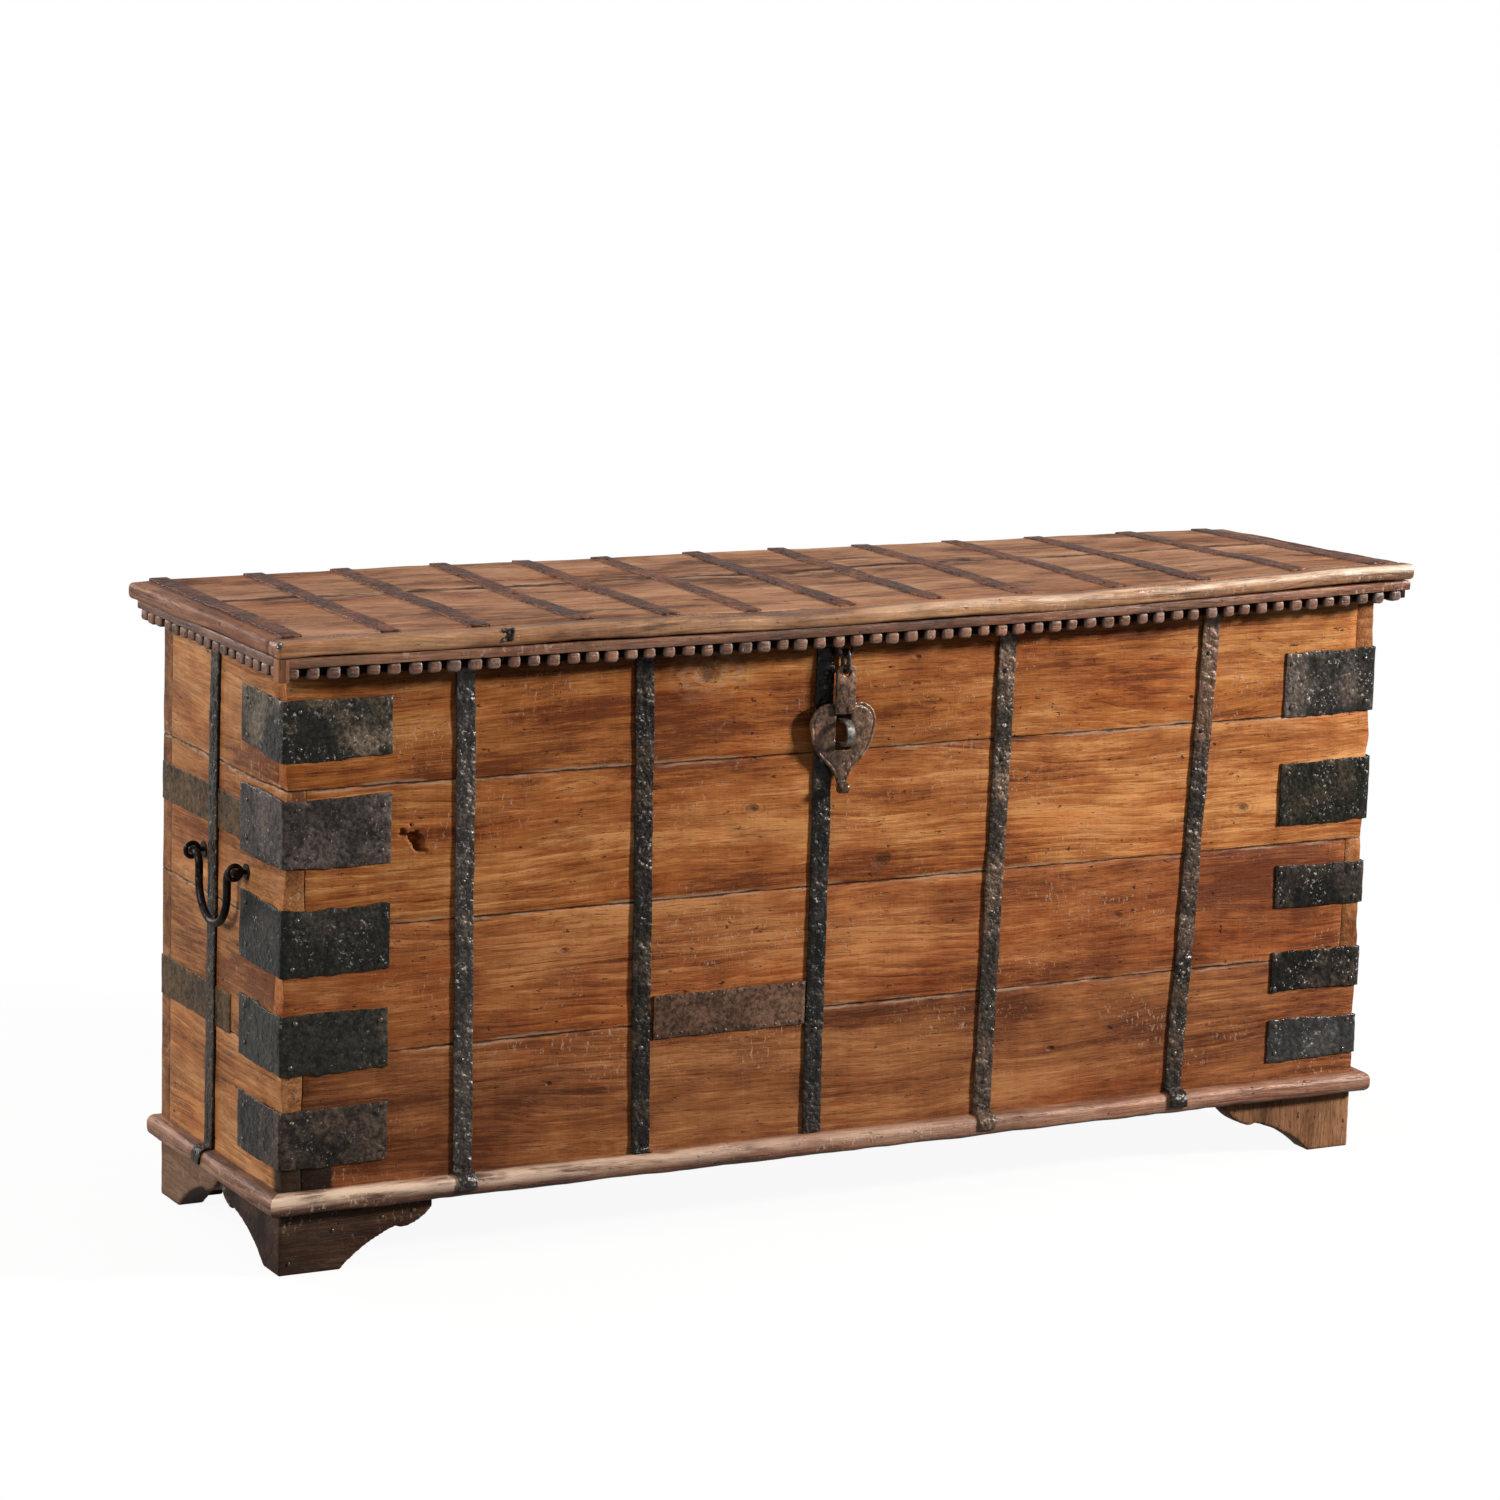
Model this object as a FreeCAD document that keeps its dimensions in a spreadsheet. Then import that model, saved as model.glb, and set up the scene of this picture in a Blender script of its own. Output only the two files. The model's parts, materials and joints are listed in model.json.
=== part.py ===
import FreeCAD, Part
import math
import operator
import os
import Sketcher

# Wooden storage trunk, bound with iron straps, on bracket feet,
# with a hinged lid, a hasp and two drop handles.
# X runs along the length, the front faces -Y, Z is up.
# The origin is on the floor under the middle of the trunk.

doc = FreeCAD.newDocument("trunk")
sheet = doc.addObject("Spreadsheet::Sheet", "Sizes")
Vector = FreeCAD.Vector
SIGNS = {"+": operator.add, "-": operator.sub, "*": operator.mul, "/": operator.truediv}


class Size:
    """A size with its value and its formula in the cells of the sheet."""

    def __init__(self, value, formula):
        self.value = value
        self.formula = formula

    def __add__(self, other):
        return joined(self, "+", other)

    def __sub__(self, other):
        return joined(self, "-", other)

    def __mul__(self, other):
        return joined(self, "*", other)

    def __truediv__(self, other):
        return joined(self, "/", other)

    def __neg__(self):
        return Size(-self.value, f"(-1 * {self.formula})")


def joined(left, sign, right):
    if not isinstance(right, Size):
        right = Size(right, str(right))
    return Size(SIGNS[sign](left.value, right.value), f"({left.formula} {sign} {right.formula})")


def size(alias, value):
    """Write one driving dimension to the sheet, in millimetres or degrees."""
    size.row += 1
    sheet.set(f"A{size.row}", alias)
    sheet.set(f"B{size.row}", str(value))
    sheet.setAlias(f"B{size.row}", alias)
    return Size(float(value), f"Sizes.{alias}")


size.row = 0
zero = Size(0.0, "0")

# Carcass: four rows of planks on each side, counted from the top.
body_length = size("body_length", 1550)
body_depth = size("body_depth", 386)
plank_thickness = size("plank_thickness", 28)
top_row_height = size("top_row_height", 165)
upper_row_height = size("upper_row_height", 172)
lower_row_height = size("lower_row_height", 157)
bottom_row_height = size("bottom_row_height", 189)
bottom_board_thickness = size("bottom_board_thickness", 22)

# Bracket feet: the length of each bracket from its corner, and the flat pad that it stands on.
foot_height = size("foot_height", 78)
foot_thickness = size("foot_thickness", 35)
front_left_foot_length = size("front_left_foot_length", 215)
front_left_foot_pad = size("front_left_foot_pad", 86)
front_right_foot_length = size("front_right_foot_length", 180)
front_right_foot_pad = size("front_right_foot_pad", 58)
side_front_foot_pad = size("side_front_foot_pad", 50)
side_back_foot_pad = size("side_back_foot_pad", 61)
back_foot_length = size("back_foot_length", 160)
back_foot_pad = size("back_foot_pad", 70)

# Base bead: a round-nosed moulding along the front and both ends.
bead_height = size("bead_height", 26)
bead_depth = size("bead_depth", 19)
bead_round = size("bead_round", 9)

# Iron straps, corner plates, bands and the patch.
strap_width = size("strap_width", 25)
strap_thickness = size("strap_thickness", 3)
strap_top_drop = size("strap_top_drop", 6)
strap_tail = size("strap_tail", 8)
bead_play = size("bead_play", 0.3)
plate_thickness = size("plate_thickness", 2.5)
plate_front_leg = size("plate_front_leg", 138)
left_plate_side_leg = size("left_plate_side_leg", 128)
right_plate_side_leg = size("right_plate_side_leg", 98)
band_thickness = size("band_thickness", 1.5)
band_gap = size("band_gap", 30)
band_back_leg = size("band_back_leg", 130)
patch_thickness = size("patch_thickness", 1.5)
patch_height = size("patch_height", 55)
patch_gap = size("patch_gap", 2)

# Lid: two boards in a frame of edge strips, with straps across the top.
lid_gap = size("lid_gap", 0.5)
lid_thickness = size("lid_thickness", 20)
lid_front_overhang = size("lid_front_overhang", 44)
lid_back_overhang = size("lid_back_overhang", 28)
lid_end_overhang = size("lid_end_overhang", 29)
lid_edge_width = size("lid_edge_width", 32)
lid_edge_round = size("lid_edge_round", 7)
back_board_depth = size("back_board_depth", 171)
strap_back_drop = size("strap_back_drop", 18)
batten_width = size("batten_width", 70)
batten_thickness = size("batten_thickness", 18)
batten_inset = size("batten_inset", 14)

# Dentil apron under the lid's edge.
moulding_setback = size("moulding_setback", 4)
moulding_height = size("moulding_height", 12)
moulding_depth = size("moulding_depth", 18)
moulding_chamfer = size("moulding_chamfer", 2)
backing_height = size("backing_height", 12)
backing_depth = size("backing_depth", 7)
dentil_height = size("dentil_height", 16)
dentil_width = size("dentil_width", 17.5)
dentil_pitch = size("dentil_pitch", 26)
dentil_depth = size("dentil_depth", 6)
dentil_tip = size("dentil_tip", 3.5)
dentil_taper = size("dentil_taper", 38)

# Hinges at the back: rolled knuckles on a pin.
pin_radius = size("pin_radius", 4)
pin_play = size("pin_play", 0.05)
pin_end = size("pin_end", 2)
hinge_room = size("hinge_room", 1)
hinge_leaf_length = size("hinge_leaf_length", 210)
knuckle_width = size("knuckle_width", 9)
knuckle_play = size("knuckle_play", 0.3)

# Hasp at the front: eye in the lid, link, arm, heart plate and the staple that it drops over.
hasp_standoff = size("hasp_standoff", 12)
hasp_wire = size("hasp_wire", 3)
hasp_play = size("hasp_play", 1)
lid_eye_bend = size("lid_eye_bend", 10)
lid_eye_drop = size("lid_eye_drop", 44)
link_pitch = size("link_pitch", 13)
arm_ring_bend = size("arm_ring_bend", 8)
arm_width = size("arm_width", 28)
arm_length = size("arm_length", 60)
hasp_plate = size("hasp_plate", 4)
heart_width = size("heart_width", 90)
heart_height = size("heart_height", 104)
heart_lap = size("heart_lap", 14)
slot_width = size("slot_width", 22)
slot_height = size("slot_height", 46)
slot_below_heart_top = size("slot_below_heart_top", 14)
curl_radius = size("curl_radius", 7)
curl_width = size("curl_width", 13)
staple_height = size("staple_height", 33)
staple_width = size("staple_width", 10)
staple_strip = size("staple_strip", 3.5)
staple_reach = size("staple_reach", 33)
rivet_radius = size("rivet_radius", 4)
rivet_head = size("rivet_head", 2)

# How far each cut runs past the metal that it goes through.
overrun = size("overrun", 10)

# Drop handles on the ends.
handle_standoff = size("handle_standoff", 16)
handle_bar = size("handle_bar", 5)
handle_span = size("handle_span", 136)
handle_drop = size("handle_drop", 76)
handle_pin = size("handle_pin", 9)
handle_bend = size("handle_bend", 14)
handle_over_plate = size("handle_over_plate", 25)
handle_clearance = size("handle_clearance", 4)
handle_play = size("handle_play", 0.6)
eye_wire = size("eye_wire", 3)
rose_radius = size("rose_radius", 10)
rose_thickness = size("rose_thickness", 1.5)

# Places that follow from the sizes above.
half_length = body_length / 2
shift = (lid_front_overhang - lid_back_overhang - strap_thickness) / 2
front_face = shift - body_depth / 2
back_face = shift + body_depth / 2
row_heights = (top_row_height, upper_row_height, lower_row_height, bottom_row_height)
wall_height = top_row_height + upper_row_height + lower_row_height + bottom_row_height
wall_top = foot_height + wall_height
bead_top = foot_height + bead_height
lid_under = wall_top + lid_gap
lid_top = lid_under + lid_thickness
lid_front = front_face - lid_front_overhang
lid_back = back_face + lid_back_overhang
lid_half = half_length + lid_end_overhang
right_plate_back = front_face + right_plate_side_leg
handle_y = right_plate_back + handle_clearance + rose_radius + handle_span / 2

# Hand-chosen shares: strap places along the half length, plate heights up the wall,
# and the outlines of curved pieces.
front_strap_top_shares = (-0.70, -0.39, -0.065, 0.275, 0.67)
front_strap_bottom_shares = (-0.69, -0.377, -0.065, 0.257, 0.632)
front_strap_wraps = ("nose", "foot", "none", "nose", "nose")
end_strap_top_share = 0.22047
end_strap_bottom_share = 0.28575
left_plate_low_shares = (0.811, 0.619, 0.427, 0.247, 0.078)
left_plate_height_shares = (0.107, 0.123, 0.119, 0.111, 0.105)
right_plate_low_shares = (0.757, 0.543, 0.378, 0.211, 0.075)
right_plate_height_shares = (0.124, 0.123, 0.085, 0.080, 0.080)
band_low_shares = (0.637, 0.271)
band_height_shares = (0.070, 0.073)
side_front_foot_share = 0.4975
side_back_foot_share = 0.487
patch_low_share = 0.249
lid_strap_shares = (
    -0.96, -0.803, -0.656, -0.486, -0.34, -0.2, -0.034,
    0.123, 0.282, 0.454, 0.616, 0.797, 0.95,
)
lid_strap_ends = (
    "drop", "drop", "hinge", "drop", "drop", "drop", "hinge",
    "drop", "drop", "drop", "hinge", "drop", "drop",
)
batten_shares = (-0.57, 0.05, 0.57)
hasp_share = -0.036
cove_end_share = 0.77
cove_rise_share = 0.59
cove_bend_share = 0.95
lobe_start_share = 0.785
lobe_drop_share = 0.55
lobe_rise_share = 0.86
lobe_bend_share = 0.75
arm_shoulder_share = 0.33
arm_bend_share = 1.4
heart_tip_share = 0.06
heart_waist_shares = (0.3, 0.3)
heart_side_share = 0.66
heart_lobe_share = 0.22
heart_dip_share = 0.94
heart_bend_shares = (-0.62, 0.66, 0.29, 0.3)
rivet_share = 0.25
staple_bow_share = 1.1
staple_start_share = 0.63
same_place_share = 0.01

side_front_foot_length = body_depth * side_front_foot_share
side_back_foot_length = body_depth * side_back_foot_share
upper_band_length = body_depth - left_plate_side_leg
lower_band_length = upper_band_length - band_gap
hasp_x = half_length * hasp_share
hasp_y = front_face - hasp_standoff


def bind(item, name, amount):
    item.setExpression(name, amount.formula)


def place(item, x, y, z, turn=0, about=Vector(0, 0, 1)):
    """Put a sub-part at its place, turned by quarter turns, about the upright axis if no other is named."""
    item.Placement = FreeCAD.Placement(Vector(0, 0, 0), FreeCAD.Rotation(about, 90 * turn))
    bind(item, ".Placement.Base.x", x)
    bind(item, ".Placement.Base.y", y)
    bind(item, ".Placement.Base.z", z)


def new_body(label):
    body = doc.addObject("PartDesign::Body", "Body")
    body.Label = label
    return body


def box(label, low, high):
    """A sawn board or a flat bar between two corners."""
    board = doc.addObject("Part::Box", "Board")
    board.Label = label
    for name, start, end in zip(("Length", "Width", "Height"), low, high):
        bind(board, name, end - start)
    place(board, *low)
    return board


def upright_ring(bend, wire, x, y, z):
    """A ring of round bar whose hole runs front to back. Its own start lies at its top."""
    ring = doc.addObject("Part::Torus", "Ring")
    bind(ring, "Radius1", bend)
    bind(ring, "Radius2", wire)
    place(ring, x, y, z)
    ring.Placement.Rotation = FreeCAD.Rotation(Vector(1, 1, 1), 240)
    return ring


def group(label, members):
    """Like pieces that share one node, each a solid of its own."""
    gathered = doc.addObject("Part::Compound", "Group")
    gathered.Label = label
    gathered.Links = members
    return gathered


def new_sketch(body, role):
    sketch = body.newObject("Sketcher::SketchObject", "Sketch")
    plane = next(item for item in body.Origin.OriginFeatures if item.Role == role)
    sketch.AttachmentSupport = (plane, "")
    sketch.MapMode = "FlatFace"
    return sketch


def hold_point(sketch, element, end, u, v):
    """Fix one point of a sketch at its distances from the sketch's origin."""
    across = sketch.addConstraint(Sketcher.Constraint("DistanceX", -1, 1, element, end, u.value))
    bind(sketch, f"Constraints[{across}]", u)
    upward = sketch.addConstraint(Sketcher.Constraint("DistanceY", -1, 1, element, end, v.value))
    bind(sketch, f"Constraints[{upward}]", v)


def hold_radius(sketch, element, radius):
    held = sketch.addConstraint(Sketcher.Constraint("Radius", element, radius.value))
    bind(sketch, f"Constraints[{held}]", radius)


def draw_edge(sketch, start, finish, bend):
    """Draw a line, or an arc that turns left for a positive bend radius.

    It says which ends of the edge the chain enters and leaves by.
    """
    first = Vector(start[0].value, start[1].value, 0)
    last = Vector(finish[0].value, finish[1].value, 0)
    if bend is None:
        return sketch.addGeometry(Part.LineSegment(first, last)), 1, 2
    radius = abs(bend.value)
    chord = last - first
    leftward = Vector(-chord.y, chord.x, 0).normalize()
    rise = math.sqrt(max(radius * radius - chord.Length * chord.Length / 4, 0))
    leftturn = bend.value > 0
    middle = (first + last) * 0.5 + leftward * (rise if leftturn else -rise)
    low, high = (first, last) if leftturn else (last, first)
    angles = [math.atan2(point.y - middle.y, point.x - middle.x) for point in (low, high)]
    if angles[1] < angles[0]:
        angles[1] += 2 * math.pi
    circle = Part.Circle(middle, Vector(0, 0, 1), radius)
    element = sketch.addGeometry(Part.ArcOfCircle(circle, angles[0], angles[1]))
    hold_radius(sketch, element, bend if leftturn else -bend)
    return (element, 1, 2) if leftturn else (element, 2, 1)


def outline(body, role, corners, closed=True):
    """Sketch a chain of corners. A corner with a third entry starts an arc of that radius."""
    sketch = new_sketch(body, role)
    edges = []
    count = len(corners)
    for index in range(count if closed else count - 1):
        corner = corners[index]
        bend = corner[2] if len(corner) > 2 else None
        edges.append(draw_edge(sketch, corner, corners[(index + 1) % count], bend))
    for index, edge in enumerate(edges):
        if closed or index + 1 < len(edges):
            following = edges[(index + 1) % len(edges)]
            meeting = (edge[0], edge[2], following[0], following[1])
            sketch.addConstraint(Sketcher.Constraint("Coincident", *meeting))
        hold_point(sketch, edge[0], edge[1], corners[index][0], corners[index][1])
    if not closed:
        hold_point(sketch, edges[-1][0], edges[-1][2], corners[-1][0], corners[-1][1])
    return sketch


def rectangle(body, role, low, high):
    return outline(body, role, [low, (high[0], low[1]), high, (low[0], high[1])])


def circle_sketch(body, role, u, v, radius):
    sketch = new_sketch(body, role)
    start = Vector(u.value, v.value, 0)
    element = sketch.addGeometry(Part.Circle(start, Vector(0, 0, 1), radius.value))
    hold_point(sketch, element, 3, u, v)
    hold_radius(sketch, element, radius)
    return sketch


def extruded(body, kind, sketch, depth, middle, backward):
    feature = body.newObject(f"PartDesign::{kind}", kind)
    feature.Profile = sketch
    bind(feature, "Length", depth)
    feature.SideType = "Symmetric" if middle else "One side"
    feature.Reversed = backward
    return feature


def pad(body, sketch, depth, middle=False, backward=False):
    return extruded(body, "Pad", sketch, depth, middle, backward)


def pocket(body, sketch, depth, middle=False, backward=False):
    """Cut a sketch through the body, and stop if nothing was cut away."""
    doc.recompute()
    before = body.Shape.Volume
    feature = extruded(body, "Pocket", sketch, depth, middle, backward)
    doc.recompute()
    if body.Shape.Volume >= before:
        raise RuntimeError(f"nothing was cut from {body.Label}")
    return feature


def rounded(body, feature, radius, chosen):
    """Round the edges of a feature whose middle points are chosen."""
    doc.recompute()
    names = []
    for number, edge in enumerate(feature.Shape.Edges, start=1):
        if chosen(edge.CenterOfMass, edge):
            names.append(f"Edge{number}")
    fillet = body.newObject("PartDesign::Fillet", "Fillet")
    fillet.Base = (feature, names)
    bind(fillet, "Radius", radius)
    return fillet


def near(first, second):
    return abs(first - second) < plank_thickness.value * same_place_share


def whole(amount):
    """The whole number just below an amount."""
    return Size(float(math.floor(amount.value)), f"floor({amount.formula})")


nodes = []


def node(item):
    nodes.append(item)
    return item


# Planks. Back planks run the whole length. At the front corners the rows lap by turns, as fingers.
row_tops = []
row_top = wall_top
for height in row_heights:
    row_tops.append(row_top)
    row_top = row_top - height
left_inside = plank_thickness - half_length
right_inside = half_length - plank_thickness
front_inside = front_face + plank_thickness
back_inside = back_face - plank_thickness
for row, (top, height) in enumerate(zip(row_tops, row_heights), start=1):
    low = top - height
    odd = row % 2 == 1
    front_start = -half_length if odd else left_inside
    front_end = right_inside if odd else half_length
    left_start = front_inside if odd else front_face
    right_start = front_face if odd else front_inside
    node(box(f"front_plank_{row}", (front_start, front_face, low), (front_end, front_inside, top)))
    node(box(f"back_plank_{row}", (-half_length, back_inside, low), (half_length, back_face, top)))
    node(box(f"left_end_plank_{row}", (-half_length, left_start, low), (left_inside, back_inside, top)))
    node(box(f"right_end_plank_{row}", (right_inside, right_start, low), (half_length, back_inside, top)))

# Bottom boards lie between the walls, on the ledge that the thicker foot brackets leave.
bottom_top = foot_height + bottom_board_thickness
node(box("bottom_board_front", (left_inside, front_inside, foot_height), (right_inside, shift, bottom_top)))
node(box("bottom_board_back", (left_inside, shift, foot_height), (right_inside, back_inside, bottom_top)))


def base_bead(label, corners, nose):
    """A mitred strip seen from above, with its outer edges rounded to a nose."""
    body = new_body(label)
    strip = pad(body, outline(body, "XY_Plane", corners), bead_height)
    rounded(body, strip, bead_round, nose)
    place(body, zero, zero, foot_height)
    return node(body)


bead_front = front_face - bead_depth
bead_end = half_length + bead_depth
base_bead(
    "base_bead_front",
    [
        (-half_length, front_face),
        (-bead_end, bead_front),
        (bead_end, bead_front),
        (half_length, front_face),
    ],
    lambda point, edge: near(point.y, bead_front.value) and near(point.x, 0),
)
for label, side in (("base_bead_left", -1), ("base_bead_right", 1)):
    inner = half_length * side
    outer = bead_end * side
    base_bead(
        label,
        [(inner, front_face), (outer, bead_front), (outer, back_face), (inner, back_face)],
        lambda point, edge: near(point.x, outer.value) and edge.Length > body_depth.value,
    )


def bracket(role, start, length, flat, away):
    """One board of a bracket foot: a flat pad, a long cove and a round lobe under its top edge."""
    body = new_body("bracket")
    lobe_bend = foot_height * lobe_bend_share * away
    corners = [
        (start * away, zero),
        (flat * away, zero, length * cove_bend_share * -away),
        (length * cove_end_share * away, foot_height * cove_rise_share),
        (length * lobe_start_share * away, foot_height * lobe_drop_share, lobe_bend),
        (length * away, foot_height * lobe_rise_share),
        (length * away, foot_height),
        (start * away, foot_height),
    ]
    pad(body, outline(body, role, corners), foot_thickness)
    return body


for side, away in (("left", 1), ("right", -1)):
    corner_x = half_length * -away
    front_length = front_left_foot_length if away > 0 else front_right_foot_length
    front_pad = front_left_foot_pad if away > 0 else front_right_foot_pad
    end_x = -half_length if away > 0 else half_length - foot_thickness
    front_board = bracket("XZ_Plane", zero, front_length, front_pad, away)
    place(front_board, corner_x, front_face + foot_thickness, zero)
    front_side_board = bracket("YZ_Plane", foot_thickness, side_front_foot_length, side_front_foot_pad, 1)
    place(front_side_board, end_x, front_face, zero)
    node(group(f"foot_front_{side}", [front_board, front_side_board]))
    back_side_board = bracket("YZ_Plane", zero, side_back_foot_length, side_back_foot_pad, -1)
    place(back_side_board, end_x, back_face, zero)
    back_board = bracket("XZ_Plane", foot_thickness, back_foot_length, back_foot_pad, away)
    place(back_board, corner_x, back_face, zero)
    node(group(f"foot_back_{side}", [back_side_board, back_board]))


def wall_strap(label, top_place, bottom_place, wrap, under, turn, x, y):
    """An iron strap down a wall, which may end in a foot on the base bead or wrap round its nose.

    The strap is drawn as on the front wall, facing -Y, and then turned to its own wall.
    """
    body = new_body(label)
    half_width = strap_width / 2
    strap_low = bead_top + bead_play
    strap_high = wall_top - strap_top_drop
    corners = [
        (bottom_place - half_width, strap_low),
        (bottom_place + half_width, strap_low),
        (top_place + half_width, strap_high),
        (top_place - half_width, strap_high),
    ]
    pad(body, outline(body, "XZ_Plane", corners), strap_thickness)
    flat_end = under + bead_round - bead_depth
    nose_in = under - bead_depth - bead_play
    nose_out = nose_in - strap_thickness
    strap_over = strap_low + strap_thickness
    bend_low = bead_top - bead_round
    tail_low = bend_low - strap_tail
    foot_corners = [(zero, strap_low), (zero, strap_over), (flat_end, strap_over), (flat_end, strap_low)]
    nose_corners = [
        (zero, strap_low),
        (zero, strap_over),
        (flat_end, strap_over, bead_round + bead_play + strap_thickness),
        (nose_out, bend_low),
        (nose_out, tail_low),
        (nose_in, tail_low),
        (nose_in, bend_low, -bead_round - bead_play),
        (flat_end, strap_low),
    ]
    if wrap != "none":
        wrap_sketch = outline(body, "YZ_Plane", nose_corners if wrap == "nose" else foot_corners)
        wrap_sketch.setExpression(".AttachmentOffset.Base.z", bottom_place.formula)
        pad(body, wrap_sketch, strap_width, middle=True)
    place(body, x, y, zero, turn)
    return node(body)


strap_places = zip(front_strap_top_shares, front_strap_bottom_shares, front_strap_wraps)
for number, (top_share, bottom_share, wrap) in enumerate(strap_places, start=1):
    top_place = half_length * top_share
    bottom_place = half_length * bottom_share
    wall_strap(f"front_strap_{number}", top_place, bottom_place, wrap, zero, 0, zero, front_face)
for side, away in (("left", -1), ("right", 1)):
    handle_place = handle_y - shift
    top_place = (handle_place + handle_span * end_strap_top_share) * away
    bottom_place = (handle_place + handle_span * end_strap_bottom_share) * away
    face = (half_length + band_thickness) * away
    wall_strap(f"{side}_end_strap", top_place, bottom_place, "nose", band_thickness, away, face, shift)


def corner_plate(corner_x, corner_y, away, inward, thickness, long_leg, end_leg, low_share, height_share):
    """Sheet iron bent round an upright corner, with one leg along the wall and one along the end."""
    body = new_body("corner_plate")
    corners = [
        (zero, zero),
        (long_leg * -away, zero),
        (long_leg * -away, thickness * -inward),
        (thickness * away, thickness * -inward),
        (thickness * away, end_leg * inward),
        (zero, end_leg * inward),
    ]
    pad(body, outline(body, "XY_Plane", corners), wall_height * height_share)
    place(body, corner_x, corner_y, foot_height + wall_height * low_share)
    return body


corner_sets = (
    ("left", -1, left_plate_side_leg, left_plate_low_shares, left_plate_height_shares),
    ("right", 1, right_plate_side_leg, right_plate_low_shares, right_plate_height_shares),
)
for side, away, side_leg, low_shares, height_shares in corner_sets:
    plates = []
    for low_share, height_share in zip(low_shares, height_shares):
        plates.append(
            corner_plate(
                half_length * away, front_face, away, 1,
                plate_thickness, plate_front_leg, side_leg, low_share, height_share,
            )
        )
    node(group(f"{side}_corner_plates", plates))
    bands = []
    band_lengths = (upper_band_length, lower_band_length)
    for low_share, height_share, length in zip(band_low_shares, band_height_shares, band_lengths):
        bands.append(
            corner_plate(
                half_length * away, back_face, away, -1,
                band_thickness, band_back_leg, length, low_share, height_share,
            )
        )
    node(group(f"{side}_end_bands", bands))

# Patch of sheet iron nailed between the second and third straps.
patch_start = half_length * front_strap_bottom_shares[1] + strap_width / 2 + patch_gap
patch_end = half_length * front_strap_bottom_shares[2] - strap_width / 2 - patch_gap
patch_low = foot_height + wall_height * patch_low_share
patch_start_corner = (patch_start, front_face - patch_thickness, patch_low)
node(box("front_patch", patch_start_corner, (patch_end, front_face, patch_low + patch_height)))

# Lid boards, and the edge strips that frame them on three sides.
field_front = lid_front + lid_edge_width
field_end = lid_half - lid_edge_width
field_seam = lid_back - back_board_depth
node(box("lid_board_front", (-field_end, field_front, lid_under), (field_end, field_seam, lid_top)))
node(box("lid_board_back", (-field_end, field_seam, lid_under), (field_end, lid_back, lid_top)))

front_edge = new_body("lid_edge_front")
front_edge_strip = pad(
    front_edge,
    rectangle(front_edge, "XY_Plane", (-lid_half, lid_front), (lid_half, field_front)),
    lid_thickness,
)
rounded(
    front_edge,
    front_edge_strip,
    lid_edge_round,
    lambda point, edge: near(point.y, lid_front.value) or near(abs(point.x), lid_half.value),
)
place(front_edge, zero, zero, lid_under)
node(front_edge)
for side, away in (("left", -1), ("right", 1)):
    inner = field_end * away
    outer = lid_half * away
    end_edge = new_body(f"lid_edge_{side}")
    end_strip = pad(
        end_edge,
        rectangle(end_edge, "XY_Plane", (inner, field_front), (outer, lid_back)),
        lid_thickness,
    )
    rounded(
        end_edge,
        end_strip,
        lid_edge_round,
        lambda point, edge: near(point.x, outer.value) and edge.Length > lid_thickness.value,
    )
    place(end_edge, zero, zero, lid_under)
    node(end_edge)


def dentil_apron(label, run, x, y, turn):
    """A moulding under the lid's edge with a row of pointed dentils cut along its foot.

    The apron is drawn along X with its show side to -Y, its left end and its back at its own origin.
    """
    body = new_body(label)
    foot = -moulding_height
    backing_low = foot - backing_height
    profile = [
        (zero, zero),
        (-moulding_depth, zero),
        (-moulding_depth, foot + moulding_chamfer),
        (moulding_chamfer - moulding_depth, foot),
        (-backing_depth, foot),
        (-backing_depth, backing_low),
        (zero, backing_low),
    ]
    pad(body, outline(body, "YZ_Plane", profile), run)
    spaces = whole((run - dentil_width) / dentil_pitch)
    start = (run - spaces * dentil_pitch - dentil_width) / 2
    tooth_low = (start, foot - dentil_height)
    tooth_high = (start + dentil_width, foot)
    stub_sketch = rectangle(body, "XZ_Plane", tooth_low, tooth_high)
    stub = pad(body, stub_sketch, backing_depth + dentil_depth)
    tip_sketch = rectangle(body, "XZ_Plane", tooth_low, tooth_high)
    tip_sketch.setExpression(".AttachmentOffset.Base.z", (backing_depth + dentil_depth).formula)
    tip = pad(body, tip_sketch, dentil_tip)
    bind(tip, "TaperAngle", -dentil_taper)
    teeth = body.newObject("PartDesign::LinearPattern", "Teeth")
    teeth.Originals = [stub, tip]
    teeth.Direction = (stub_sketch, ["H_Axis"])
    bind(teeth, "Length", spaces * dentil_pitch)
    bind(teeth, "Occurrences", spaces + 1)
    body.Tip = teeth
    place(body, x, y, lid_under, turn)
    return node(body)


apron_half = lid_half - moulding_setback
apron_back = lid_front + moulding_setback + moulding_depth
side_run = lid_back - apron_back
apron_inside = apron_half - moulding_depth
dentil_apron("lid_apron_front", apron_half * 2, -apron_half, apron_back, 0)
dentil_apron("lid_apron_left", side_run, -apron_inside, lid_back, -1)
dentil_apron("lid_apron_right", side_run, apron_inside, apron_back, 1)

# Battens across the underside of the lid, which drop between the walls.
battens = []
for share in batten_shares:
    middle = half_length * share
    low = (middle - batten_width / 2, front_inside + batten_inset, lid_under - batten_thickness)
    high = (middle + batten_width / 2, back_inside - batten_inset, lid_under)
    battens.append(box("batten", low, high))
node(group("lid_battens", battens))

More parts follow.
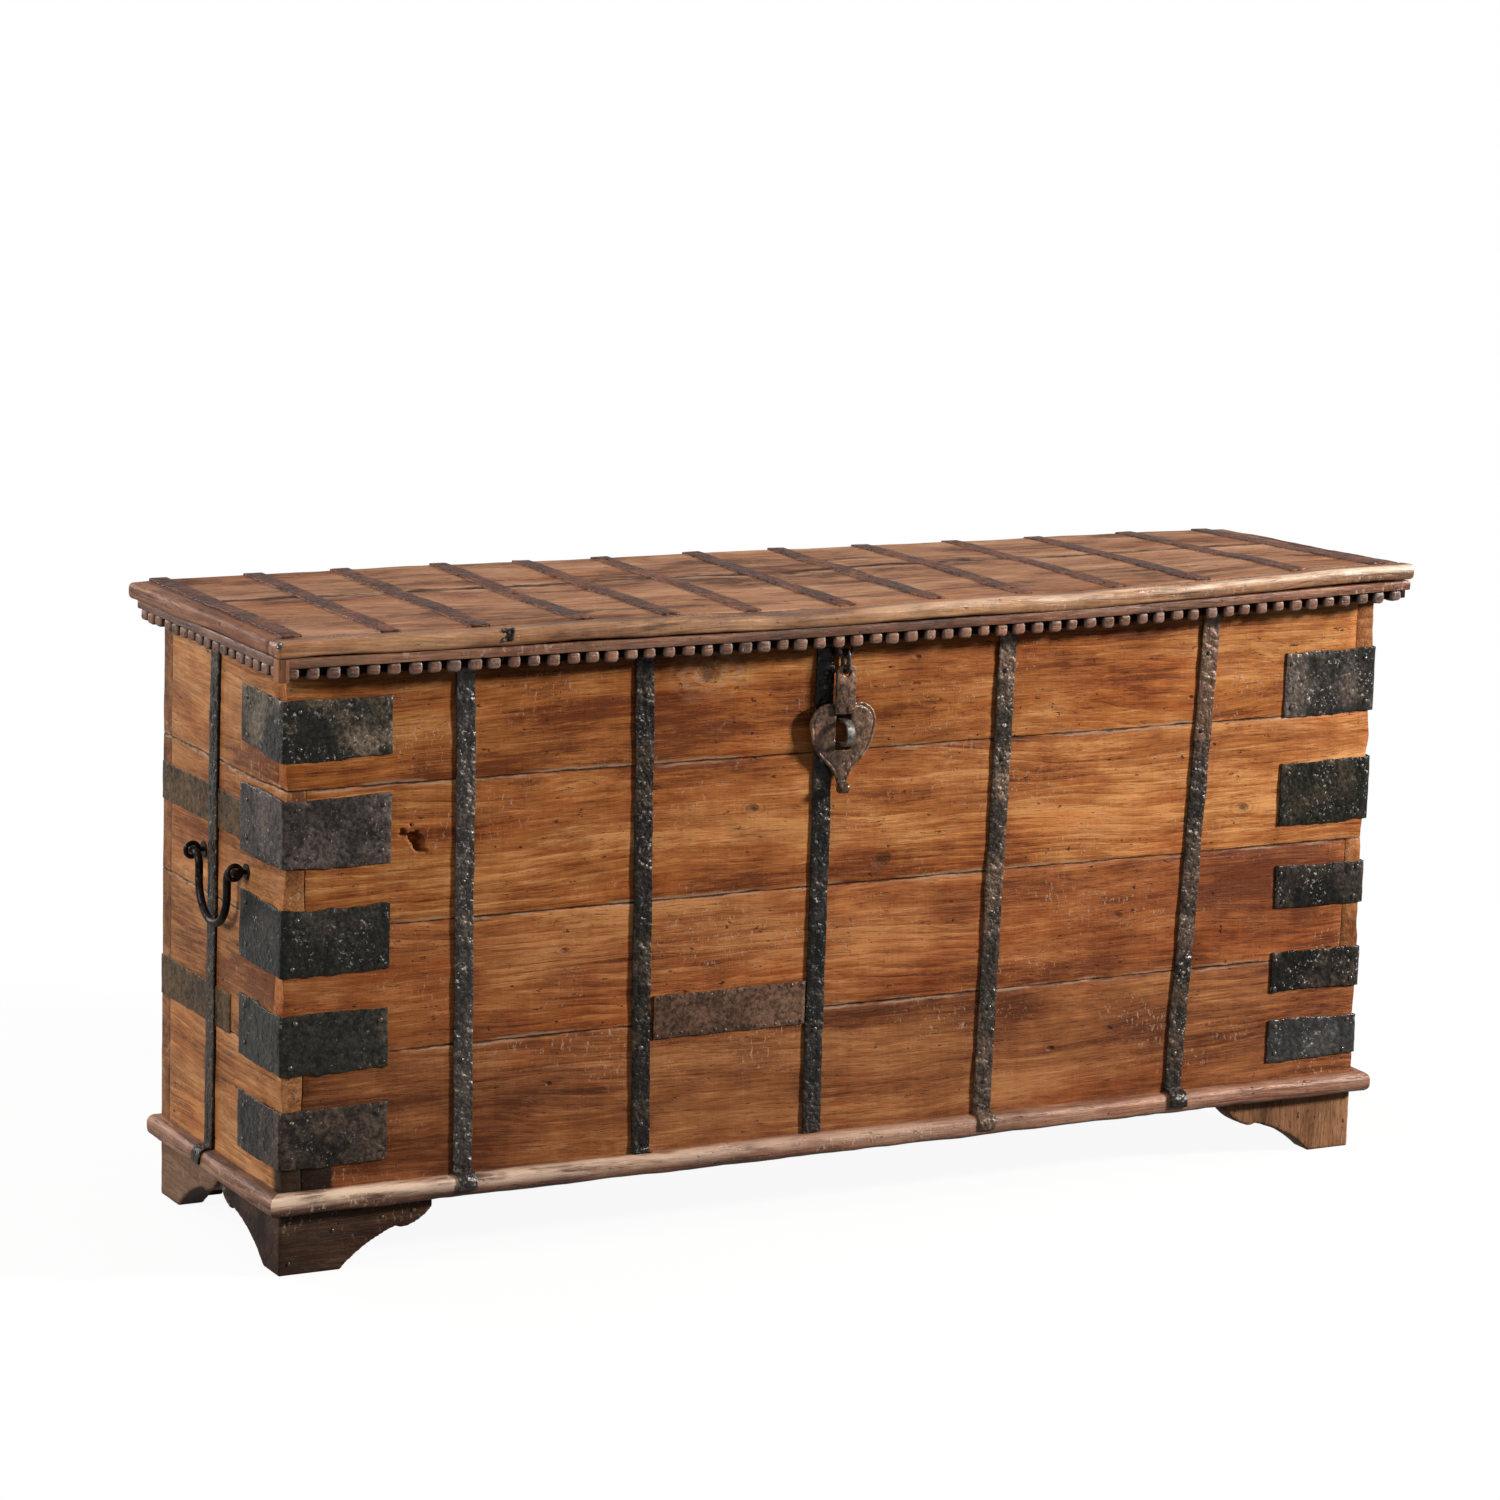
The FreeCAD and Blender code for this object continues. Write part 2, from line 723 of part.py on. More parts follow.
# Straps across the lid. Three of them go on round the back edge to the hinges.
knuckle_radius = pin_radius + pin_play + strap_thickness
hinge_y = back_face + knuckle_radius + hinge_room
hinge_z = lid_under - knuckle_radius - hinge_room
strap_over_lid = lid_top + strap_thickness
strap_behind_lid = lid_back + strap_thickness
strap_under_lid = lid_under - strap_thickness
hinge_clear = hinge_y + knuckle_radius + hinge_room
plain_straps = []
hinge_straps = []
hinge_places = []
for share, end in zip(lid_strap_shares, lid_strap_ends):
    middle = lid_half * share
    body = new_body("lid_strap")
    hinged = end == "hinge"
    tail = strap_under_lid if hinged else lid_top - strap_back_drop
    corners = [
        (field_front, lid_top),
        (lid_back, lid_top),
        (lid_back, tail),
        (strap_behind_lid, tail),
        (strap_behind_lid, strap_over_lid),
        (field_front, strap_over_lid),
    ]
    pad(body, outline(body, "YZ_Plane", corners), strap_width, middle=True)
    if hinged:
        hinge_places.append(middle)
        under_low = (hinge_clear, strap_under_lid)
        under_strip = rectangle(body, "YZ_Plane", under_low, (strap_behind_lid, lid_under))
        pad(body, under_strip, strap_width, middle=True)
        neck = rectangle(body, "YZ_Plane", (hinge_y, strap_under_lid), (strap_behind_lid, lid_under))
        pad(body, neck, knuckle_width, middle=True)
        roll = circle_sketch(body, "YZ_Plane", hinge_y, hinge_z, knuckle_radius)
        pad(body, roll, knuckle_width, middle=True)
        bore = circle_sketch(body, "YZ_Plane", hinge_y, hinge_z, pin_radius + pin_play)
        pocket(body, bore, knuckle_width + overrun, middle=True)
        hinge_straps.append(body)
    else:
        plain_straps.append(body)
    place(body, middle, zero, zero)
node(group("lid_straps", plain_straps))
node(group("lid_hinge_straps", hinge_straps))

# Hinge leaves on the back wall, each with two knuckles either side of the lid's one, and their pins.
leaves = []
pins = []
for middle in hinge_places:
    leaf = new_body("hinge_leaf")
    leaf_low = hinge_z - hinge_leaf_length
    leaf_plate = rectangle(leaf, "YZ_Plane", (back_face, leaf_low), (back_face + strap_thickness, hinge_z))
    pad(leaf, leaf_plate, strap_width, middle=True)
    pad(leaf, circle_sketch(leaf, "YZ_Plane", hinge_y, hinge_z, knuckle_radius), strap_width, middle=True)
    gap_low = (back_face - hinge_room, hinge_z - knuckle_radius - hinge_room)
    gap_high = (hinge_clear, hinge_z + knuckle_radius + hinge_room)
    knuckle_gap = rectangle(leaf, "YZ_Plane", gap_low, gap_high)
    pocket(leaf, knuckle_gap, knuckle_width + knuckle_play * 2, middle=True)
    bore = circle_sketch(leaf, "YZ_Plane", hinge_y, hinge_z, pin_radius + pin_play)
    pocket(leaf, bore, strap_width + overrun, middle=True)
    place(leaf, middle, zero, zero)
    leaves.append(leaf)
    pin = new_body("hinge_pin")
    pin_section = circle_sketch(pin, "YZ_Plane", hinge_y, hinge_z, pin_radius)
    pad(pin, pin_section, strap_width + pin_end * 2, middle=True)
    place(pin, middle, zero, zero)
    pins.append(pin)
node(group("hinge_leaves", leaves))
node(group("hinge_pins", pins))


def bent_bar(label, role, profile_role, corners, radius):
    """A round bar bent along a chain of straight runs and arcs that starts at the body's own origin."""
    body = new_body(label)
    path = outline(body, role, corners, closed=False)
    pipe = body.newObject("PartDesign::AdditivePipe", "Pipe")
    pipe.Profile = circle_sketch(body, profile_role, zero, zero, radius)
    pipe.Spine = path
    return body


# Eye in the lid: a bar bent to a U and driven up into the lid behind the dentils.
eye_leg = lid_eye_drop - lid_eye_bend
lid_eye = bent_bar(
    "lid_hasp_eye",
    "XZ_Plane",
    "XY_Plane",
    [
        (zero, zero),
        (zero, -eye_leg, lid_eye_bend),
        (lid_eye_bend, -lid_eye_drop, lid_eye_bend),
        (lid_eye_bend * 2, -eye_leg),
        (lid_eye_bend * 2, zero),
    ],
    hasp_wire,
)
place(lid_eye, hasp_x - lid_eye_bend, hasp_y, lid_under)
node(lid_eye)

# Link: a closed oval of round bar, square to the eye above it and to the ring below it.
link_pivot = lid_under - lid_eye_drop
arm_pivot = link_pivot - link_pitch
link_bend = hasp_wire * 2 + hasp_play
link = bent_bar(
    "hasp_link",
    "YZ_Plane",
    "XY_Plane",
    [
        (zero, zero),
        (zero, -link_pitch, link_bend),
        (link_bend, -link_pitch - link_bend, link_bend),
        (link_bend * 2, -link_pitch),
        (link_bend * 2, zero, link_bend),
        (link_bend, link_bend, link_bend),
        (zero, zero),
    ],
    hasp_wire,
)
place(link, hasp_x, hasp_y - link_bend, link_pivot)
node(link)

# Arm: a flat bar whose upper end is drawn out and curled into a ring, riveted to the front of the heart.
ring_middle = arm_pivot - arm_ring_bend
arm_low = arm_pivot - arm_length
arm_high = ring_middle - arm_ring_bend + hasp_wire / 2
arm_shoulder = arm_length * arm_shoulder_share
arm = new_body("hasp_arm_plate")
arm_corners = [
    (arm_width / -2, zero),
    (arm_width / 2, zero),
    (arm_width / 2, arm_shoulder, arm_width * arm_bend_share),
    (hasp_wire, arm_high - arm_low),
    (-hasp_wire, arm_high - arm_low, arm_width * arm_bend_share),
    (arm_width / -2, arm_shoulder),
]
pad(arm, outline(arm, "XZ_Plane", arm_corners), hasp_plate)
place(arm, hasp_x, hasp_y, arm_low)
ring = upright_ring(arm_ring_bend, hasp_wire, hasp_x, hasp_y, ring_middle)
hasp_arm = doc.addObject("Part::Fuse", "Arm")
hasp_arm.Base = arm
hasp_arm.Tool = ring
hasp_arm.Label = "hasp_arm"
node(hasp_arm)

# Heart plate: two lobes above, a waist drawn in to a tip that is curled up as a finger lift,
# and the slot for the staple.
heart_top = arm_low + heart_lap
heart_bottom = heart_top - heart_height
heart_tip = heart_width * heart_tip_share
heart_waist = heart_width * heart_waist_shares[0]
heart_waist_height = heart_height * heart_waist_shares[1]
heart_side = heart_width / 2
heart_side_height = heart_height * heart_side_share
heart_lobe = heart_width * heart_lobe_share
waist_bend, side_bend, lobe_bend, dip_bend = [heart_width * share for share in heart_bend_shares]
heart_corners = [
    (-heart_tip, zero),
    (heart_tip, zero, waist_bend),
    (heart_waist, heart_waist_height, side_bend),
    (heart_side, heart_side_height, lobe_bend),
    (heart_lobe, heart_height, dip_bend),
    (zero, heart_height * heart_dip_share, dip_bend),
    (-heart_lobe, heart_height, lobe_bend),
    (-heart_side, heart_side_height, side_bend),
    (-heart_waist, heart_waist_height, waist_bend),
]
heart = new_body("hasp_heart")
pad(heart, outline(heart, "XZ_Plane", heart_corners), hasp_plate)
curl = circle_sketch(heart, "YZ_Plane", -curl_radius, -curl_radius / 2, curl_radius)
pad(heart, curl, curl_width, middle=True)
slot_high = heart_height - slot_below_heart_top
slot_low = slot_high - slot_height
slot = rectangle(heart, "XZ_Plane", (slot_width / -2, slot_low), (slot_width / 2, slot_high))
pocket(heart, slot, hasp_plate * 2 + overrun, middle=True)
place(heart, hasp_x, hasp_y + hasp_plate, heart_bottom)
node(heart)

# Two rivets whose heads hold the arm's lower end on the heart.
rivets = []
for side in (-1, 1):
    rivet = doc.addObject("Part::Cylinder", "Rivet")
    bind(rivet, "Radius", rivet_radius)
    bind(rivet, "Height", rivet_head)
    rivet_x = hasp_x + arm_width * rivet_share * side
    place(rivet, rivet_x, hasp_y - hasp_plate, arm_low + heart_lap / 2, 1, Vector(1, 0, 0))
    rivets.append(rivet)
node(group("hasp_rivets", rivets))

# Staple: an iron strip bent to a loop that stands out of the front wall through the heart's slot.
staple_middle = heart_bottom + (slot_low + slot_high) / 2
staple_half = staple_height / 2
staple_inside = staple_half - staple_strip
staple_bow = staple_half * staple_bow_share
staple_bow_inside = staple_bow - staple_strip
bow_start = staple_reach - staple_half * staple_start_share
staple_tip = -staple_reach
staple = new_body("hasp_staple")
staple_corners = [
    (zero, -staple_half),
    (zero, -staple_inside),
    (-bow_start, -staple_inside, -staple_bow_inside),
    (staple_tip + staple_strip, zero, -staple_bow_inside),
    (-bow_start, staple_inside),
    (zero, staple_inside),
    (zero, staple_half),
    (-bow_start, staple_half, staple_bow),
    (staple_tip, zero, staple_bow),
    (-bow_start, -staple_half),
]
pad(staple, outline(staple, "YZ_Plane", staple_corners), staple_width, middle=True)
place(staple, hasp_x, front_face, staple_middle)
node(staple)


# Drop handles: a bar bent to a U whose turned ends swing in two eyes.
# The eyes stand above the left end's third plate.
third_plate_top = foot_height + wall_height * (left_plate_low_shares[2] + left_plate_height_shares[2])
handle_height = third_plate_top + handle_over_plate
pin_run = handle_pin * 2
bow = (handle_span - pin_run - handle_bend * 2) / 2
leg_low = handle_drop - bow
run_end = handle_span + pin_run
for side, away in (("left", -1), ("right", 1)):
    handle_x = (half_length + handle_standoff) * away
    bail = bent_bar(
        f"{side}_handle",
        "YZ_Plane",
        "XZ_Plane",
        [
            (zero, zero),
            (pin_run, zero, -handle_bend),
            (pin_run + handle_bend, -handle_bend),
            (pin_run + handle_bend, -leg_low, bow),
            (run_end / 2, -handle_drop, bow),
            (run_end - pin_run - handle_bend, -leg_low),
            (run_end - pin_run - handle_bend, -handle_bend, -handle_bend),
            (run_end - pin_run, zero),
            (run_end, zero),
        ],
        handle_bar,
    )
    place(bail, handle_x, handle_y - run_end / 2, handle_height)
    node(bail)
    eyes = []
    for end in (-1, 1):
        eye_y = handle_y + handle_span / 2 * end
        eye_bend = handle_bar + handle_play + eye_wire
        eye_ring = upright_ring(eye_bend, eye_wire, handle_x, eye_y, handle_height)
        shank = doc.addObject("Part::Cylinder", "Shank")
        bind(shank, "Radius", eye_wire)
        bind(shank, "Height", handle_standoff - eye_bend)
        rose = doc.addObject("Part::Cylinder", "Rose")
        bind(rose, "Radius", rose_radius)
        bind(rose, "Height", rose_thickness)
        for stem in (shank, rose):
            place(stem, half_length * away, eye_y, handle_height, away, Vector(0, 1, 0))
        eye = doc.addObject("Part::MultiFuse", "Eye")
        eye.Shapes = [eye_ring, shank, rose]
        eyes.append(eye)
    node(group(f"{side}_handle_eyes", eyes))

doc.recompute()
for item in doc.Objects:
    if "Invalid" in item.State or "Error" in item.State:
        raise RuntimeError(f"{item.Label} failed: {item.State}")
for item in nodes:
    if item.Shape.isNull() or not item.Shape.isValid():
        raise RuntimeError(f"{item.Label} has no valid shape")
os.makedirs("parts", exist_ok=True)
for item in nodes:
    item.Shape.exportStep(f"parts/{item.Label}.step")
    print(item.Label, len(item.Shape.Solids), round(item.Shape.Volume))
print(len(nodes), "nodes")
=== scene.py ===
import bmesh
import bpy
import json
import random
from math import asin, copysign, cos, hypot, radians, sin
from mathutils import Euler, Matrix, Vector, noise
from mathutils.bvhtree import BVHTree

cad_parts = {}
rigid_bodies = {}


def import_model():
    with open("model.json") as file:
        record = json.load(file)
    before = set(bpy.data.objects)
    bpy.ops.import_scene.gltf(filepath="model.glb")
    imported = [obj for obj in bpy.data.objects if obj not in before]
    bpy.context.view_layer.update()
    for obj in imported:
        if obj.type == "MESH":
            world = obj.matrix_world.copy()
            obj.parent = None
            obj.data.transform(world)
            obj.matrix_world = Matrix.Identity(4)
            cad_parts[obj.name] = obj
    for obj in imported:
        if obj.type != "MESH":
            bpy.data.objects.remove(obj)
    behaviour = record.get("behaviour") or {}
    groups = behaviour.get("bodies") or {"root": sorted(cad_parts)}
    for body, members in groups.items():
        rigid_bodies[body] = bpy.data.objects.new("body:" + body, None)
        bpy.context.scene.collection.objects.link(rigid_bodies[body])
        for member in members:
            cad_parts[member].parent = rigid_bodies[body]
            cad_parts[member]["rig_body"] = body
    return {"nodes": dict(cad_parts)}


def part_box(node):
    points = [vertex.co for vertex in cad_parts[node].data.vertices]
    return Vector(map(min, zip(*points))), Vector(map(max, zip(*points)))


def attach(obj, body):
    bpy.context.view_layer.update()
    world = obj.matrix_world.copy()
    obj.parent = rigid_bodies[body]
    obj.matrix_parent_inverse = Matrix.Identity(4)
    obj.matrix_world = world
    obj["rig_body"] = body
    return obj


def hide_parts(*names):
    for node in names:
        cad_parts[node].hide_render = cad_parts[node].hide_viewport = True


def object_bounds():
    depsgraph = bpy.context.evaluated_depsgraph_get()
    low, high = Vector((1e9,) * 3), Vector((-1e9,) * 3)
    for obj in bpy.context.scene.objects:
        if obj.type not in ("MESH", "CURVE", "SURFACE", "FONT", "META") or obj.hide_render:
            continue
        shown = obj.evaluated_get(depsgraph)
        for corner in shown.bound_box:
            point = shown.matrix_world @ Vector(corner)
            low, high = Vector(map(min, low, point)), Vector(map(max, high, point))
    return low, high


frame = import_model()
cad_low, cad_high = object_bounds()
nodes = frame["nodes"]
chance = random.Random(7)

# Studio. The trunk stands on a plain white floor that fades into a white room.
# One lamp rakes the front from the right. Larger soft ones light the left end, the lid and the back.
scene = bpy.context.scene
scene.view_settings.view_transform = "Standard"


def feed(tree, node, feeds):
    """Feed a shader node's inputs with sockets or plain values."""
    for name, value in feeds.items():
        if isinstance(value, bpy.types.NodeSocket):
            tree.links.new(value, node.inputs[name])
        else:
            node.inputs[name].default_value = value


def put(tree, kind, feeds=None, **options):
    """Add a shader node, its kind given without the ShaderNode in front, and give its outputs."""
    added = tree.nodes.new(kind if kind.startswith("NodeGroup") else f"ShaderNode{kind}")
    for option, value in options.items():
        setattr(added, option, value)
    feed(tree, added, feeds or {})
    return added.outputs


def reckon(operation, *values):
    """A math node, in the tree of the first value that is a socket."""
    tree = next(value.id_data for value in values if isinstance(value, bpy.types.NodeSocket))
    return put(tree, "Math", dict(enumerate(values)), operation=operation)[0]


def times(one, other):
    return reckon("MULTIPLY", one, other)


def fade(value, low, high, start=0.0, end=1.0):
    """A soft step from start to end while the value goes from low to high."""
    feeds = {0: value, 1: low, 2: high, 3: start, 4: end}
    return put(value.id_data, "MapRange", feeds, interpolation_type="SMOOTHSTEP")[0]


view_azimuth = radians(-28.21)
view_elevation = radians(11.36)
view_roll = radians(1.73)
bpy.ops.object.camera_add()
camera = bpy.context.object
camera.matrix_world = (
    Matrix.Rotation(view_azimuth, 4, "Z") @ Matrix.Rotation(radians(90) - view_elevation, 4, "X")
    @ Matrix.Rotation(view_roll, 4, "Z")
)
camera.location = (-3.08527, -5.65321, 1.85114)
camera.data.sensor_width = 36
camera.data.lens = 122.81
camera.data.clip_end = 200
scene.camera = camera


def add_lamp(name, place, target, width, watts, colour):
    bpy.ops.object.light_add(type="AREA", location=place)
    lamp = bpy.context.object
    lamp.name = name
    lamp.rotation_euler = (Vector(target) - Vector(place)).to_track_quat("-Z", "Y").to_euler()
    lamp.data.size = width
    lamp.data.energy = watts
    lamp.data.color = colour


add_lamp("key_lamp", (3.87, -2.19, 2.02), (0.1, -0.2, 0.45), 0.5, 370, (1.0, 0.97, 0.93))
add_lamp("fill_lamp", (-5.2, -0.6, 2.4), (-0.6, 0.0, 0.45), 2.2, 195, (1.0, 0.98, 0.96))
add_lamp("top_lamp", (-0.6, 0.2, 4.6), (-0.3, 0.0, 0.7), 2.6, 62, (1.0, 0.99, 0.98))
add_lamp("back_lamp", (-2.8, 4.6, 2.2), (0.1, 0.2, 0.45), 2.2, 120, (1.0, 0.99, 0.98))

plain_white = (1, 1, 1, 1)
mirrored_white = 0.22


def seen_white(tree):
    """How much white a ray sees: all of it from the camera, and a share where iron mirrors the room."""
    rays = put(tree, "LightPath")
    mirrored = times(rays["Is Glossy Ray"], mirrored_white)
    seen = reckon("MAXIMUM", rays["Is Camera Ray"], mirrored)
    return reckon("MAXIMUM", seen, rays["Is Transmission Ray"])


room = bpy.data.worlds.new("white_room")
room.use_nodes = True
tree = room.node_tree
tree.nodes.clear()
soft_light = put(tree, "Background", {"Color": plain_white, "Strength": 0.12})[0]
white = put(tree, "Background", {"Color": plain_white, "Strength": 1.0})[0]
sky = put(tree, "MixShader", {0: seen_white(tree), 1: soft_light, 2: white})[0]
put(tree, "OutputWorld", {"Surface": sky})
scene.world = room

bpy.ops.mesh.primitive_plane_add(size=120)
floor = bpy.context.object
floor.name = "floor"
floor_look = bpy.data.materials.new("white_floor")
floor_look.use_nodes = True
tree = floor_look.node_tree
tree.nodes.clear()
spot = put(tree, "TexCoord")["Object"]
reach = put(tree, "VectorMath", {0: spot}, operation="LENGTH")["Value"]
glow = fade(reach, 1.0, 2.6, 0.93, 1.0)
seen = seen_white(tree)
paint = fade(seen, 0.0, 1.0, 0.08, 0.86)
shade = put(tree, "BsdfDiffuse", {"Color": paint})[0]
shine = put(tree, "Emission", {"Color": plain_white, "Strength": 1.0})[0]
ground = put(tree, "MixShader", {0: times(seen, glow), 1: shade, 2: shine})[0]
put(tree, "OutputMaterial", {"Surface": ground})
floor.data.materials.append(floor_look)

# Front wall: four sawn teak planks, flush on their faces and butted along open seams, nailed at the corners.
# Their arrises are rubbed and chipped, and old wax and dirt darken the seams.


def tint(red, green, blue):
    """A colour as it looks on a screen, 0 to 255, in the linear light that shaders use."""
    shares = [value / 255 for value in (red, green, blue)]
    return tuple(x / 12.92 if x < 0.04 else ((x + 0.055) / 1.055) ** 2.4 for x in shares) + (1.0,)


def switch(mode):
    bpy.ops.object.mode_set(mode=mode)


def take_all():
    bpy.ops.mesh.select_all(action="SELECT")


def pick(piece, kind, wanted):
    """In edit mode, select only the corners, edges or faces that are wanted."""
    mesh = bmesh.from_edit_mesh(piece.data)
    bpy.ops.mesh.select_mode(type=kind)
    for element in (*mesh.faces, *mesh.edges, *mesh.verts):
        element.select = False
    for element in {"VERT": mesh.verts, "EDGE": mesh.edges, "FACE": mesh.faces}[kind]:
        if wanted(element):
            element.select_set(True)
    mesh.select_flush_mode()
    bmesh.update_edit_mesh(piece.data)


def span(edge, axis):
    return abs(edge.verts[0].co[axis] - edge.verts[1].co[axis])


def activate(piece):
    bpy.ops.object.select_all(action="DESELECT")
    piece.select_set(True)
    bpy.context.view_layer.objects.active = piece


def finish_with(piece, kind, **options):
    """Give the piece one modifier and apply it."""
    activate(piece)
    modifier = piece.modifiers.new(kind.title(), kind)
    for option, value in options.items():
        setattr(modifier, option, value)
    bpy.ops.object.modifier_apply(modifier=modifier.name)


def weathered(piece, width, depth, way="NORMAL", middle=0.5, vertex_group=""):
    """Push the surface in and out by a cloudy pattern of that width."""
    clouds = bpy.data.textures.new(f"{piece.name}_clouds", "CLOUDS")
    clouds.noise_scale = width
    clouds.noise_depth = 2
    finish_with(
        piece, "DISPLACE", texture=clouds, texture_coords="LOCAL", strength=depth, direction=way,
        mid_level=middle, vertex_group=vertex_group,
    )


def wear(piece, degrees, *waves):
    """Wear the piece by waves, each a width and a depth, and shade what is flatter than the angle smooth."""
    for width, depth in waves:
        weathered(piece, width, depth)
    bpy.ops.object.shade_smooth_by_angle(angle=radians(degrees))


def block_between(name, low, high):
    bpy.ops.mesh.primitive_cube_add(size=1, location=(low + high) / 2)
    block = bpy.context.object
    block.name = name
    block.scale = high - low
    bpy.ops.object.transform_apply()
    return block


def sawn_board(name, low, high, step, arris, segments=2):
    """A board between two corners with rounded arrises, divided finely enough to be worn."""
    board = block_between(name, low, high)
    switch("EDIT")
    take_all()
    bpy.ops.mesh.bevel(offset=arris, segments=segments)
    for axis in range(3):
        run = (high - low)[axis] - 2 * arris
        cuts = int(run / step)
        if cuts > 0:
            pick(board, "EDGE", lambda edge: span(edge, axis) > run * 0.99)
            bpy.ops.mesh.subdivide(number_cuts=cuts)
    switch("OBJECT")
    return board


def new_group(name, takes, gives):
    """A shader node group whose inputs and outputs are listed by kind."""
    tree = bpy.data.node_groups.new(name, "ShaderNodeTree")
    for way, sockets in (("INPUT", takes), ("OUTPUT", gives)):
        for kind, labels in sockets.items():
            for label in labels:
                tree.interface.new_socket(label, in_out=way, socket_type=f"NodeSocket{kind}")
    return tree, put(tree, "NodeGroupInput")


def vector(operation, *values):
    return put(values[0].id_data, "VectorMath", dict(enumerate(values)), operation=operation)[0]


def cloud(place, stretch, detail=3.0, roughness=0.55, output=0):
    """Cloudy noise, finer along an axis with a larger stretch."""
    stretched = vector("MULTIPLY", place, stretch)
    feeds = {"Vector": stretched, "Scale": 1.0, "Detail": detail, "Roughness": roughness}
    return put(place.id_data, "TexNoise", feeds)[output]


def blend(share, under, over, way="MIX"):
    feeds = {0: share, 6: under, 7: over}
    return put(under.id_data, "Mix", feeds, data_type="RGBA", blend_type=way)[2]


def add_share(total, value, share):
    return reckon("MULTIPLY_ADD", value, share, total)


def less(value, taken):
    return reckon("SUBTRACT", value, taken)


def seeded(place, seed):
    """The same pattern from another place, for each seed."""
    return vector("ADD", place, vector("MULTIPLY", seed, (5.1, 3.3, 9.7)))


# Teak figure: grain along X in bands, growth lines, pores and fibres, with stains, scuffs and dents.
teak, given = new_group(
    "teak_figure",
    {"Vector": ["Vector"], "Float": ["Seed", "Stain", "Scuff"], "Color": ["Pale", "Body", "Deep"]},
    {"Color": ["Color"], "Float": ["Roughness", "Height"]},
)
origin = seeded(given["Vector"], given["Seed"])
wander = vector("SUBTRACT", cloud(origin, (1.6, 7, 7), 2, output=1), (0.5, 0.5, 0.5))
drift = vector("ADD", origin, vector("MULTIPLY", wander, (0, 0.07, 0.07)))
streak = cloud(drift, (2.6, 66, 66), 7, 0.72)
fibre = cloud(drift, (14, 420, 420), 3, 0.6)
chatter = cloud(origin, (190, 16, 16), 3, 0.6)
ring_feeds = {
    "Vector": vector("MULTIPLY", drift, (8, 24, 24)), "Scale": 1.0, "Distortion": 13.0,
    "Detail": 4.0, "Detail Scale": 0.22, "Detail Roughness": 0.62,
}
rings = put(teak, "TexWave", ring_feeds, wave_type="BANDS", bands_direction="Z", wave_profile="SAW")["Fac"]
ringed = fade(cloud(origin, (2.5, 8, 8), 3), 0.46, 0.6)
rings = times(less(rings, 0.5), ringed)
tone = 0.5
for part, share in (
    (cloud(drift, (1.6, 9, 9), 4, 0.6), 1.25),
    (streak, 0.85),
    (reckon("ADD", rings, 0.5), 0.25),
    (cloud(origin, (8, 20, 20), 6, 0.68), 1.15),
    (fibre, 0.65),
    (chatter, 0.12),
):
    tone = add_share(tone, less(part, 0.5), share)
figure = blend(fade(tone, 0.2, 0.55), given["Deep"], given["Body"])
figure = blend(fade(tone, 0.48, 0.88), figure, given["Pale"])
blush = fade(cloud(origin, (3.2, 13, 13), 5, 0.62), 0.47, 0.66)
figure = blend(times(blush, 0.6), figure, (0.9, 0.64, 0.46, 1), "MULTIPLY")
stain = fade(cloud(origin, (4.5, 13, 16), 8, 0.74), 0.5, 0.7)
stain = times(stain, given["Stain"])
figure = blend(stain, figure, given["Deep"])
pores = fade(cloud(drift, (30, 800, 800), 3), 0.58, 0.7)
figure = blend(times(pores, 0.45), figure, tint(52, 27, 15))
scuff = fade(cloud(origin, (170, 90, 90), 5, 0.72), 0.56, 0.64)
scuff = times(scuff, fade(cloud(origin, (6, 12, 12), 4), 0.5, 0.62))
scuff = times(scuff, given["Scuff"])
figure = blend(scuff, figure, tint(186, 154, 128))
nicks = fade(cloud(origin, (60, 130, 130), 4, 0.65), 0.65, 0.71)
figure = blend(times(nicks, 0.8), figure, tint(36, 20, 13))
dull = add_share(0.26, stain, 0.14)
dull = add_share(dull, streak, 0.25)
dull = add_share(dull, scuff, 0.2)
relief = times(streak, 0.6)
for part, share in (
    (fibre, 0.2),
    (pores, -0.2),
    (nicks, -0.7),
    (scuff, 0.25),
    (chatter, 0.12),
    (cloud(origin, (14, 40, 40), 4), 1.2),
):
    relief = add_share(relief, part, share)
put(teak, "NodeGroupOutput", {"Color": figure, "Roughness": dull, "Height": relief})

# Seam dirt: dark along the two long arrises of a plank, with a rubbed pale line beside it.
seam, given = new_group(
    "seam_dirt", {"Vector": ["Vector"], "Float": ["Low", "High", "Seed", "Width"]}, {"Float": ["Dirt", "Rub"]},
)
origin = seeded(given["Vector"], given["Seed"])
height = put(seam, "SeparateXYZ", {0: given["Vector"]})[2]
inside = reckon("MINIMUM", less(height, given["Low"]), less(given["High"], height))
ragged = times(less(cloud(origin, (22, 40, 40), 5, 0.7), 0.5), 4.5)
inside = reckon("ADD", reckon("DIVIDE", inside, given["Width"]), ragged)
dirt = fade(inside, 0.0, 1.1, 1.0, 0.0)
patchy = fade(cloud(origin, (9, 60, 60), 4), 0.46, 0.58)
rub = times(fade(inside, 0.8, 3.0, 1.0, 0.0), patchy)
put(seam, "NodeGroupOutput", {"Dirt": dirt, "Rub": rub})

